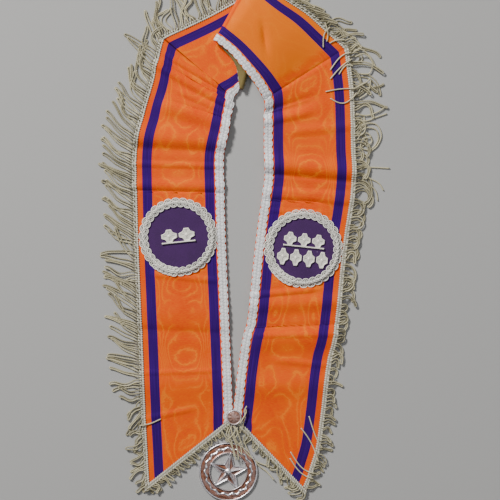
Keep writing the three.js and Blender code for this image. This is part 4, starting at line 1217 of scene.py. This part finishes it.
def fringe_loops(surface, name, band, ends, number):
    """Loops of cord, two legs and a round tip. The middle line of each leaves the edge at an angle
    that turns steadily, and falls to the floor as 3 p^2 - 2 p^3. The legs run on both sides of it,
    drawing together towards the tip."""
    c = cloth()
    random = np.random.default_rng(40 + number)
    start, end = trim_span(band, 1.0, ends)
    pitch = c.loop_pitch * (1.3 if name == "right" else 1)
    places, walked = band.places(1.0, pitch, start, end)
    places, walked = places[:-1] + 0.5 * np.diff(places), walked[:-1] + 0.5 * np.diff(walked)
    span = band.line(1.0)[1]
    first, last = np.interp([start, end], np.arange(band.rows), span)
    share = (walked - first) / (last - first)
    if name == "neck":
        bare = (share > NECK_BARE[0]) & (share < NECK_BARE[1])
        places, share = places[~bare], share[~bare]
    lay = mixed(FRINGE_LAY[name], "along", share)
    count = len(places)
    stray = lay["stray"]

    def untidy(spread):
        return random.normal(0, spread, count) * stray

    lean = np.radians(lay["lean"] + untidy(LEAN_SPREAD))
    curl = np.radians(lay["curl"] + untidy(CURL_SPREAD))
    sway = np.radians(untidy(SWAY_SPREAD) + SWAY)
    reach = c.fringe_length * lay["reach"] * (1 + untidy(REACH_SPREAD))
    reach = np.clip(reach, 4 * MM, 1.12 * c.fringe_length)
    root = band.on(places, 1.0, c.cloth_depth + 0.5 * c.head_depth + TRIM_GAP)
    ahead = band.on(np.clip(places + 0.5, 0, band.rows - 1), 1.0, 0.0)
    behind = band.on(np.clip(places - 0.5, 0, band.rows - 1), 1.0, 0.0)
    walk = unit((ahead - behind) * [1, 1, 0])
    square = np.stack([walk[:, 1], -walk[:, 0], 0 * walk[:, 0]], axis=1)
    part = np.linspace(0, 1, LEG_STEPS)[None, :]
    turn = lean[:, None] + curl[:, None] * part + sway[:, None] * np.sin(2 * math.pi * part)
    way = square[:, None] * np.cos(turn)[..., None] + walk[:, None] * np.sin(turn)[..., None]
    stride = (reach / (LEG_STEPS - 1))[:, None, None]
    middle = root[:, None] + np.cumsum(way * stride, axis=1) - way * stride
    middle = middle - square[:, None] * LOOP_ROOT
    radius = c.cord_diameter / 2
    layer = (np.arange(count) % 3) * np.minimum(stray, 1.4) * 0.8 * MM
    lay_height = radius + layer[:, None]
    fall = ease(part * reach[:, None] / FALL_LENGTH - 0.2)
    middle[..., 2] = root[:, None, 2] * (1 - fall) + lay_height * fall
    aside = np.stack([-way[..., 1], way[..., 0], 0 * way[..., 0]], axis=-1)
    wide, narrow = 0.25 * c.loop_pitch, 0.95 * radius + random.uniform(0, 0.5, count) * MM
    gap = narrow[:, None] + (wide - narrow[:, None]) * (1 - ease(part * 1.15))
    bow = 0.35 * random.normal(0, 1, count) * np.minimum(stray, 1)
    gap = np.maximum(gap * (1 + np.sin(math.pi * part) * bow[:, None]), 0.95 * radius)
    out_leg = middle + aside * gap[..., None]
    back_leg = middle - aside * gap[..., None]
    half = np.linspace(0, math.pi, 7)[1:-1][None, :]
    tip_gap = gap[:, -1:]
    tip = (
        middle[:, -1:]
        + aside[:, -1:] * (tip_gap * np.cos(half))[..., None]
        + way[:, -1:] * (1.3 * tip_gap * np.sin(half))[..., None])
    paths = np.concatenate([out_leg, tip, back_leg[:, ::-1]], axis=1)
    # Each cord has its own random tone, with painted shade towards the head; the back leg is
    # painted darker still, as the shaded side of the loop
    tone_and_painted_shade = random.uniform(0.55, 1.0, (count, 1)) * (0.45 + 0.55 * ease(part * 5))
    darker = random.uniform(0.45, 1.0, (count, 1)) * tone_and_painted_shade[:, ::-1]
    at_tip = np.repeat(tone_and_painted_shade[:, -1:], tip.shape[1], axis=1)
    tone_and_painted_shade = np.concatenate([tone_and_painted_shade, at_tip, darker], axis=1)
    surface.tubes(paths, radius, shade=tone_and_painted_shade[..., None], slot=1)
    add_strays(surface, name, band, first, last, span)


def add_strays(surface, name, band, first, last, span):
    """Cords that lie in over the cloth: distance along the edge and share run in a bowed line from
    the head inwards, a cord's radius above the cloth, with a hump over the head. The loose cords
    are smooth curves through their points."""
    c = cloth()
    radius = c.cord_diameter / 2
    for points in LOOSE_CORDS.get(name, ()):
        points = ORIGIN + np.array(points) * MM
        path = smooth_curve(points, np.linspace(0, len(points) - 1, 36))
        surface.tubes(path, radius, shade=0.95, slot=1)
    if name not in STRAYS:
        return
    table = STRAYS[name]
    part = np.linspace(0, 1, 28)[None, :]
    begin = first + table["along"][:, None] * (last - first)
    bow = table["sag"][:, None] * np.sin(math.pi * part)
    walked = begin + (table["drift"][:, None] * part + bow) * c.ribbon_width
    place = np.interp(walked, span, np.arange(band.rows))
    share = 1.0 + share_of(1.5 * MM) - (table["reach"][:, None] + share_of(c.head_width)) * part
    over = np.clip(1 - (1 - share) / share_of(c.head_width * 1.25), 0, 1)
    height = c.cloth_depth + radius + 0.1 * MM + (c.head_depth + 0.7 * MM) * ease(over * 1.6)
    surface.tubes(band.on(place, share, height), radius, shade=0.98, slot=1)


class SASH_OT_badges(bpy.types.Operator):
    """Make the two felt badges and the shell braid round them"""

    bl_idname = "sash.badges"
    bl_label = "Badges"

    def execute(self, context):
        tint = colours()
        felt = felt_finish()
        braid = thread_finish("shell_braid", tint.shell, tint.thread_shade, 2.0, 1.5 * MM)
        for side, (low, high) in BADGE_BOXES.items():
            centre = foot_centre(low, high)
            radius = (high[0] - low[0]) / 2
            depth = high[2] - low[2]
            surface = Surface()
            domed(
                surface, centre, lambda a: radius,
                lambda p, a: depth * np.where(p < 1, 1 - 0.35 * p**6, 0.25), 96, 14)
            surface.make(f"felt_badge_{side}", [felt], f"badge_disc_{side}", "badge_cloth")
            surface = Surface()
            shell_braid(surface, centre + [0, 0, depth], side)
            surface.make(f"shell_braid_{side}", [braid], f"badge_braid_{side}", "braid")
        return {"FINISHED"}


def domed(surface, centre, outline, height, around, rings, shade=None, power=1.0):
    """A solid over a flat foot: at angle a and part p of the way out it stands height(p, a) above
    the foot at distance p * outline(a). Fans of faces close its middle above and below."""
    part = np.concatenate([[0.0], (np.arange(1, rings + 1) / rings) ** power])
    a, p = np.meshgrid(turns(around), part)
    rise, reach = height(p, a), p * outline(a)
    tone = np.ones_like(rise) if shade is None else shade(p, a)
    levels = np.concatenate([polar(reach, a, rise)[1:], polar(reach, a, 0.0)[:0:-1]])
    levels[-1, :, :2] *= 0.5
    rows = len(levels)
    faces, i, j = quads(rows, around, (False, True))
    corner = np.stack([j / around, i / rows], axis=-1)
    points = np.concatenate([levels.reshape(-1, 3), [[0, 0, np.mean(rise[0])], [0, 0, 0]]])
    tones = np.append(np.concatenate([tone[1:], tone[-2::-1]]), [tone[0, 0]] * 2)
    first = np.arange(0, around, 2)
    second, third = first + 1, (first + 2) % around
    last, middle = (rows - 1) * around, rows * around
    above = np.stack([middle + 0 * first, first, second, third], axis=1)
    below = np.stack([middle + 1 + 0 * first, last + third, last + second, last + first], axis=1)
    surface.add(
        points + centre, np.concatenate([faces, above, below]),
        np.concatenate([corner, np.zeros((around, 4, 2))]), tones)


# The two ellipses of a shell loop: share of full size, radius of the cord and height of its middle
SHELLS = ((1.0, 0.6 * MM, 0.85 * MM), (0.5, 0.36 * MM, 0.8 * MM))
# Radius of the two crossing cords and how far they swing sideways and up, and the lift of the
# shells that lie double
CROSS_RADIUS, CROSS_SWING, CROSS_LIFT = 0.66 * MM, 0.85 * MM, 0.4 * MM
DOUBLE_LIFT = 0.9 * MM
# Seed of the braid round each badge, and the angle where its two ends meet
SHELL_SEEDS = {"left": 11, "right": 12}
SHELL_JOINTS = {"left": math.radians(-112), "right": math.radians(-128)}


def shell_braid(surface, centre, side):
    """The braid round a badge: a row of shell loops outside and one inside, ellipses with a smaller
    ellipse in each, over a dark foot that is painted shade in their holes and round their edge, and
    on both sides of two cords that cross as sines in opposite phase. Where its two ends meet, a few
    shells lie double."""
    m = metal()
    count = m.badge_loops
    outer = m.badge_braid_diameter / 2
    width = m.badge_braid_width
    middle = outer - width / 2
    random = np.random.default_rng(SHELL_SEEDS[side])
    start = random.uniform(0, 2 * math.pi)
    pitch = 2 * math.pi / count
    turn = turns(16)[None, :]

    def place(radius, angle, height):
        drop = 1.5 * MM * ease((radius - middle + 0.2 * MM) / (outer - middle))
        return centre + polar(radius, angle, height - drop)

    doubled = SHELL_JOINTS[side] + (np.arange(5) - 2) * 0.62 * pitch
    whole = start + pitch * np.arange(count)
    for angles, raised in ((whole, 0.0), (doubled, DOUBLE_LIFT)):
        angles = angles[:, None]
        for row, phase in ((1, 0.0), (-1, 0.3)):
            base = angles + phase * pitch
            jitter = 1 + random.normal(0, 0.05, angles.shape)
            for share, wire, lift in SHELLS:
                centre_line = middle + row * width * (0.31 - 0.1 * (1 - share)) + 0.3 * raised
                radius = centre_line + row * width * 0.235 * share * jitter * np.cos(turn)
                around = base + 0.44 * pitch * share * np.sin(turn)
                height = lift + raised + 0.2 * MM * np.cos(turn + base)
                surface.tubes(
                    place(radius, around, height), wire, closed=True,
                    shade=random.uniform(0.9, 1.1, (len(angles), 1, 1)))
    fine = turns(count * 14)
    for sign in (1, -1):
        radius = middle + CROSS_SWING * sign * np.sin(count * (fine - start))
        height = 1.3 * MM + CROSS_LIFT * sign * np.cos(count * (fine - start))
        # Painted shade: darker between the beads of the crossing cords
        beads = 0.8 + 0.2 * np.cos(3 * count * fine)
        surface.tubes(
            place(radius, fine, height), CROSS_RADIUS, closed=True, shade=beads[None, :, None])
    # The dark foot: painted shade that shows through the holes of the loops and round their
    # scalloped edge
    ring = turns(count * 8)[:, None]
    scallop = np.abs(np.cos(count / 2 * (ring - start))) ** 0.8
    half = width * (0.34 + 0.12 * scallop)
    w = np.array([-1, -0.9, 0, 0.9, 1])[None, :]
    levels = np.array([0.05, 0.3, 0.45, 0.3, 0.05])[None, :] * MM
    flat = place(middle + w * half, ring, levels)
    low = place(middle + w * half, ring, 0.02 * MM)
    surface.ring(np.concatenate([flat, low[:, ::-1][:, 1:-1]], axis=1), 0.08)


# Rows of cast ornaments on a bar, with the badge of each. x and y: place from the badge centre,
# width and height, in millimetres.
ORNAMENT_ROWS = {
    "emblem_left": ("left", columns(
        "x y width height", (-9.65, 1.8, 17.7, 15), (9.65, 1.8, 17.7, 15))),
    "emblem_upper": ("right", columns(
        "x y width height",
        (-15.53, 9.3, 13.93, 15), (0, 9.3, 13.93, 15), (15.53, 9.3, 13.93, 15))),
}
# The four below them, width and height in millimetres
LOWER_ORNAMENT = (12.8, 18.5)
# Corner of a petal and of the notch between two petals, as shares of half the width and height
PETAL_HALF, PETAL_NOTCH = 0.3, 0.52
# Radius of the bar, and how far its middle lies above the lower edge of its ornaments, in
# millimetres
BAR_RADIUS = 0.85 * MM
BAR_INSET = 0.1


class SASH_OT_ornaments(bpy.types.Operator):
    """Cast the plain ornaments of the two badges"""

    bl_idname = "sash.ornaments"
    bl_label = "Ornaments"

    def execute(self, context):
        tint = colours()
        # Painted shade: the cast colour darkened for the veins, the foot and the edge of each
        # ornament
        painted_hollow = tuple(0.3 * value for value in tint.cast)
        finish = cast_finish("cast_ornament", tint.cast, painted_hollow, 0.42, 0.2)
        for node, (side, table) in ORNAMENT_ROWS.items():
            surface = Surface()
            for x, y, width, height in zip(*table.values()):
                ornament(surface, on_badge(side, node, x, y), side, width, height)
            ornament_bar(surface, node, side, table)
            surface.make(node.replace("emblem", "ornament"), [finish], node, "emblem_metal")
        for number in range(1, 5):
            node = f"emblem_lower_{number}"
            surface = Surface()
            ornament(surface, foot_centre(*box_of(node)), "right", *LOWER_ORNAMENT)
            surface.make(node.replace("emblem", "ornament"), [finish], node, "emblem_metal")
        return {"FINISHED"}


def badge_turn(side):
    """The turn of the ornaments on a badge."""
    return metal().badge_tilt * (1 if side == "left" else -1)


def on_badge(side, node, x, y):
    """A place on a badge, x and y millimetres from its centre along its turned axes."""
    low, high = BADGE_BOXES[side]
    turn = badge_turn(side)
    spin = np.array([[math.cos(turn), -math.sin(turn)], [math.sin(turn), math.cos(turn)]])
    return np.array([*((low + high)[:2] / 2 + spin @ [x, y] * MM), box_of(node)[0][2]])


def ornament(surface, centre, side, width, height):
    """A cast ornament of four blunt petals: along the outline x = 1 up to the petal's corner, then
    a straight line to the notch, in shares of half the size. Its flat face has a raised border, a
    vein in each petal and a round stud in the middle."""
    turn = badge_turn(side)
    half, tall = width / 2 * MM, height / 2 * MM
    rise_x, rise_y = PETAL_NOTCH - PETAL_HALF, 1 - PETAL_NOTCH
    level = rise_x + rise_y * PETAL_HALF

    def fold(a):
        x, y = np.abs(np.cos(a - turn)) / half, np.abs(np.sin(a - turn)) / tall
        return np.maximum(x, y), np.minimum(x, y)

    def outline(a):
        large, small = fold(a)
        return np.minimum(1 / large, level / (rise_x * large + rise_y * small))

    def parts(p, a):
        large, small = fold(a)
        border = ease((p - 0.74) / 0.05) * ease((1.0 - p) / 0.1 + 0.25)
        vein = np.exp(-((small / large * p / 0.07) ** 2)) * ease((p - 0.25) / 0.1)
        return border, vein * ease((0.75 - p) / 0.1), np.sqrt(np.clip(1 - (p / 0.22) ** 2, 0, 1))

    def rise(p, a):
        border, vein, stud = parts(p, a)
        return np.where(p >= 1, 0.45, 0.85 + 0.35 * border - 0.2 * vein + 0.55 * stud) * MM

    # Painted light: darker in the veins and round the foot, lighter on the border and the stud
    def shade(p, a):
        border, vein, stud = parts(p, a)
        return np.clip(0.8 + 0.3 * border - 0.5 * vein + 0.3 * stud - 0.6 * (p >= 1), 0, 1)

    domed(surface, centre, outline, rise, 96, 20, shade)


def ornament_bar(surface, node, side, table):
    """The bar that joins a row of ornaments: a rounded strip with a bead at each end."""
    x, y, width, height = table.values()
    level = y[0] - height[0] / 2 + BAR_INSET
    start, end = (
        on_badge(side, node, far, level) for far in (x[0] - width[0] / 2, x[-1] + width[-1] / 2))
    part = np.linspace(0, 1, 40)
    swell = 1 + 0.35 * np.exp(-((np.minimum(part, 1 - part) / 0.03) ** 2))
    path = start + (end - start) * part[:, None] + UP * BAR_RADIUS
    surface.tubes(path, BAR_RADIUS * swell, 8, shade=0.95)


class SASH_OT_button(bpy.types.Operator):
    """Set the domed button where the two bands meet"""

    bl_idname = "sash.button"
    bl_label = "Button"

    def execute(self, context):
        tint = colours()
        finish = cast_finish("button_metal", tint.silver, tint.painted_warm_reflection, 0.36, 0.7)
        radius = (BUTTON_HIGH[0] - BUTTON_LOW[0]) / 2
        depth = BUTTON_HIGH[2] - BUTTON_LOW[2]
        centre = foot_centre(BUTTON_LOW, BUTTON_HIGH)

        def rise(p, a):
            rim = 0.32 * np.exp(-(((p - 0.9) / 0.055) ** 2))
            dome = 0.98 - 0.5 * p**2.4
            petals = 0.05 * np.cos(8 * a) * np.exp(-(((p - 0.55) / 0.2) ** 2))
            return depth * np.where(p >= 1, 0.3, dome + rim + petals)

        # Silver round the rim as a painted highlight; inside it, mostly the painted warm reflection
        def shade(p, a):
            return np.clip(0.95 * np.exp(-(((p - 0.92) / 0.065) ** 2)) + 0.1, 0, 1)

        surface = Surface()
        domed(surface, centre, lambda a: radius, rise, 64, 26, shade)
        surface.make("domed_button", [finish], "button", "button_metal")
        return {"FINISHED"}


class SASH_OT_pendant(bpy.types.Operator):
    """Cast the pierced star pendant, its eye and the link above it"""

    bl_idname = "sash.pendant"
    bl_label = "Star pendant"

    def execute(self, context):
        tint = colours()
        finish = cast_finish("pendant_silver", tint.silver, tint.painted_warm_reflection, 0.34)
        surface = Surface()
        centre = PENDANT_CENTRE
        for build in (pendant_ring, wavy_band, star, boss):
            build(surface, centre)
        way = unit((ORIGIN - centre) * [1, 1, 0])
        m = metal()
        eye_radius = (m.eye_diameter - m.wire) / 2
        eye_reach = PENDANT_RADIUS + eye_radius - m.wire / 4
        turn = turns(32)[:, None]
        across = np.array([-way[1], way[0], 0])
        eye = centre + way * (eye_reach + eye_radius * np.cos(turn))
        eye = eye + UP * (m.eye_diameter / 2 + eye_radius * np.sin(turn))
        surface.tubes(eye, m.wire / 2, 8, closed=True, up=across, shade=0.8)
        surface.make("pierced_star_pendant", [finish], "star_pendant", "pendant_metal")
        surface = Surface()
        link_radius = (m.link_width - m.wire) / 2
        start = centre + way * (eye_reach + link_radius)
        top = box_of("hanger_link")[1][1] - m.link_width / 2
        end = start + way * (top - start[1]) / way[1]
        half = np.linspace(0, math.pi, 17)[:, None]
        low = start - way * link_radius * np.sin(half) + across * link_radius * np.cos(half)
        high = end + way * link_radius * np.sin(half) - across * link_radius * np.cos(half)
        stretch = np.linspace(0, 1, 10)[1:-1][:, None]
        rising = low[-1] + (high[0] - low[-1]) * stretch
        falling = high[-1] + (low[0] - high[-1]) * stretch
        oval = np.concatenate([low, rising, high, falling]) + UP * m.eye_diameter / 2
        surface.tubes(oval, m.wire / 2, 8, closed=True, shade=0.75)
        surface.make("hanging_link", [finish], "hanger_link", "pendant_metal")
        return {"FINISHED"}


def pendant_ring(surface, centre):
    """The ring: a section of foot, round rim, sunk flat and round inner bead, turned about the
    centre, with shallow hammer marks on the flat."""
    m = metal()
    outer, inner = PENDANT_RADIUS, m.pendant_hole / 2
    flat, rim, tall = m.pendant_flat, m.pendant_rim, m.pendant_depth
    arc = np.linspace(0, math.pi, 9)
    rim_r = outer - rim / 2 + rim / 2 * np.cos(arc)
    rim_z = tall - rim / 2 + rim / 2 * np.sin(arc)
    bead = 1.0 * MM
    bead_r = inner + bead / 2 + bead / 2 * np.cos(arc)
    bead_z = flat + 0.5 * bead * np.sin(arc)
    flat_r = np.linspace(outer - rim, inner + bead, 9)
    radius = np.concatenate([[outer], rim_r, flat_r, bead_r[1:], [inner, outer]])
    height = np.concatenate([[0.2 * MM], rim_z, np.full(9, flat), bead_z[1:], [0, 0]])
    # Painted light: silver highlights on the rim and the bead, the painted warm reflection on the
    # flat
    tone = np.concatenate([[0.3], np.full(9, 0.95), np.full(9, 0.05), np.full(8, 0.6), [0.2, 0.2]])
    angle = turns(144)[:, None]
    marks = 0.22 * MM * np.sin(7 * angle + radius * 500) * np.cos(4 * angle - radius * 900)
    dip = np.where(tone < 0.1, 1.0, 0.0)
    surface.ring(polar(radius, angle, height + marks * dip) + centre, tone)


def wavy_band(surface, centre):
    """The band on the flat: a low ridge with a sharp back whose middle line is a circle plus a
    wave, broken by small nicks."""
    m = metal()
    middle = (PENDANT_RADIUS - m.pendant_rim + m.pendant_hole / 2) / 2
    waves = 16
    angle = turns(waves * 16)[:, None]
    line = middle + 0.9 * MM * np.cos(waves * angle) + 0.3 * MM * np.sin(5 * angle)
    across = np.linspace(-1, 1, 11)[None, :]
    half = (1.7 + 0.4 * np.sin(waves * angle * 0.5) ** 2) * MM
    nick = 0.25 * MM * np.cos(2 * waves * angle)
    height = m.pendant_flat * 0.6 + (1.35 * MM + nick) * (1 - np.abs(across) ** 1.5)
    top = polar(line + half * across, angle, height)
    under = polar(line, angle, 0.5 * m.pendant_flat)
    # Painted highlight along the ridge of the band, fading to the painted warm reflection at its
    # sides and under it
    tone = np.concatenate([np.clip(1.15 - np.abs(across) ** 4, 0, 1), [[0.2]]], axis=1)
    surface.ring(np.concatenate([top[:, ::-1], under], axis=1) + centre, tone)


def star(surface, centre):
    """A five-pointed star: the outline is straight between ten corners, and at part p of the way
    out it stands (1 - p) times a fixed depth inside the nearest edge. It has a raised border, a
    sunk field and a ridge along the middle of each point."""
    m = metal()
    long, short = m.star_diameter / 2, m.star_neck / 2
    corner = math.pi / 5
    cross = long * short * math.sin(corner)
    depth = cross / math.hypot(long - short * math.cos(corner), short * math.sin(corner))

    def fold(a):
        b = (a - math.pi / 2 - m.star_turn) % (2 * corner)
        return np.minimum(b, 2 * corner - b)

    def outline(a):
        b = fold(a)
        return cross / (long * np.sin(b) + short * np.sin(corner - b))

    def parts(p, a):
        border = np.exp(-((((1 - p) * depth - 0.6 * MM) / (0.8 * MM)) ** 2))
        off = p * outline(a) * np.sin(fold(a))
        return border, np.exp(-((off / (0.9 * MM)) ** 2)) * ease((0.95 - p) / 0.3)

    def rise(p, a):
        border, ridge = parts(p, a)
        height = 1.0 + 1.25 * border + 1.0 * ridge + 0.9 * (1 - p)
        return np.where(p >= 1, 1.3, height) * MM

    # Painted light: one face of each point lit and the other in the painted warm reflection, with
    # highlights on the border, the ridges and the middle
    def shade(p, a):
        border, ridge = parts(p, a)
        signed = (a - math.pi / 2 - m.star_turn + corner) % (2 * corner) - corner
        face = np.where(signed > 0, 0.42, 0.02)
        return np.clip(face + 1.2 * border + 0.5 * ridge + 0.6 * (p < 0.34), 0, 1)

    domed(surface, centre + [0, 0, 0.2 * MM], outline, rise, 200, 26, shade, power=0.8)


def boss(surface, centre):
    """A round boss cut in facets: an eight-sided outline over steps, like a cut stone."""
    m = metal()
    radius = m.boss_diameter / 2

    def outline(a):
        step = math.pi / 4
        return radius * math.cos(step / 2) / np.cos((a % step) - step / 2)

    def rise(p, a):
        facets = 1 - 0.8 * np.maximum(p - 0.45, 0) / 0.55
        crown = 0.12 * np.cos(16 * a) * np.exp(-(((p - 0.6) / 0.16) ** 2))
        return np.where(p >= 1, 1.0, 2.6 + 1.6 * facets + crown) * MM

    # Painted facet light: the eight facets of the crown are alternately lighter and darker
    def shade(p, a):
        return 0.75 + 0.25 * np.cos(8 * a) * (p > 0.4)

    domed(surface, centre, outline, rise, 48, 10, shade)


class SASH_OT_sheets(bpy.types.Operator):
    """Work out the length of each band; nothing else is done with them"""

    bl_idname = "sash.sheets"
    bl_label = "Declare sheets"

    def execute(self, context):
        for side in ("right", "left"):
            bands()[side].length()
        length = bands()["neck"].length()
        return {"FINISHED"}


# The photograph's middle from the button, its width on the floor, and the camera's distance
VIEW_CENTRE = (0.0176, 0.1837)
VIEW_WIDTH = 0.55
VIEW_DISTANCE = 2.2
# Area lights: place from the middle of the view, size, power and colour
LIGHTS = {
    "window_light": ((-1.7, 2.1, 2.1), 0.6, 158.0, (1.0, 0.98, 0.95)),
    "ceiling_light": ((0.1, 0.2, 2.0), 1.6, 8.5, (1.0, 1.0, 1.0)),
    "side_light": ((1.3, -0.3, 0.9), 1.0, 2.0, (0.95, 0.97, 1.0)),
}
SKY_COLOUR, SKY_STRENGTH = (0.95, 0.97, 1.0, 1), 0.08
# Half the side of the floor, and its height
FLOOR_REACH, FLOOR_LEVEL = 4.0, -0.2 * MM


class SASH_OT_stage(bpy.types.Operator):
    """Lay the floor, and set the lights and the camera above it"""

    bl_idname = "sash.stage"
    bl_label = "Stage"

    def execute(self, context):
        scene = context.scene
        centre = ORIGIN[:2] + VIEW_CENTRE
        mesh = bpy.data.meshes.new("floor")
        square = ((-1, -1), (1, -1), (1, 1), (-1, 1))
        corners = [(x * FLOOR_REACH, y * FLOOR_REACH, FLOOR_LEVEL) for x, y in square]
        mesh.from_pydata(corners, [], [(0, 1, 2, 3)])
        mesh.materials.append(floor_finish())
        floor = bpy.data.objects.new("floor", mesh)
        scene.collection.objects.link(floor)
        for name, (place, width, power, tint) in LIGHTS.items():
            lamp = bpy.data.lights.new(name, "AREA")
            lamp.size, lamp.energy, lamp.color = width, power, tint
            holder = bpy.data.objects.new(name, lamp)
            scene.collection.objects.link(holder)
            holder.location = (centre[0] + place[0], centre[1] + place[1], place[2])
            aim = Vector((*centre, 0)) - holder.location
            holder.rotation_euler = aim.to_track_quat("-Z", "Y").to_euler()
        world = bpy.data.worlds.new("studio")
        scene.world = world
        world.use_nodes = True
        background = world.node_tree.nodes["Background"]
        background.inputs["Color"].default_value = SKY_COLOUR
        background.inputs["Strength"].default_value = SKY_STRENGTH
        lens = bpy.data.cameras.new("camera")
        lens.sensor_width = 36.0
        lens.lens = lens.sensor_width * VIEW_DISTANCE / VIEW_WIDTH
        camera = bpy.data.objects.new("camera", lens)
        scene.collection.objects.link(camera)
        camera.location = (centre[0], centre[1], VIEW_DISTANCE)
        scene.camera = camera
        return {"FINISHED"}


class SASH_PT_panel(bpy.types.Panel):
    """Sizes, colours and steps of the sash"""

    bl_idname = "SASH_PT_panel"
    bl_label = "Fringed sash"
    bl_space_type = "VIEW_3D"
    bl_region_type = "UI"
    bl_category = "Sash"

    def draw(self, context):
        for operator in OPERATORS:
            self.layout.operator(operator.bl_idname)
        for group in (cloth(), metal(), colours()):
            box = self.layout.box()
            for name in group.__annotations__:
                box.prop(group, name)


OPERATORS = (
    SASH_OT_stage, SASH_OT_cloth, SASH_OT_braid, SASH_OT_fringe, SASH_OT_badges,
    SASH_OT_ornaments, SASH_OT_button, SASH_OT_pendant, SASH_OT_sheets,
)
GROUPS = {"sash_cloth": ClothSizes, "sash_metal": MetalSizes, "sash_colours": SashColours}
CLASSES = (*GROUPS.values(), *OPERATORS, SASH_PT_panel)


def register():
    for each in CLASSES:
        bpy.utils.register_class(each)
    for name, group in GROUPS.items():
        setattr(bpy.types.Scene, name, PointerProperty(type=group))


def unregister():
    for name in GROUPS:
        delattr(bpy.types.Scene, name)
    for each in reversed(CLASSES):
        bpy.utils.unregister_class(each)


def main():
    register()
    for operator in OPERATORS:
        group, name = operator.bl_idname.split(".")
        getattr(getattr(bpy.ops, group), name)()


if __name__ == "__main__":
    main()
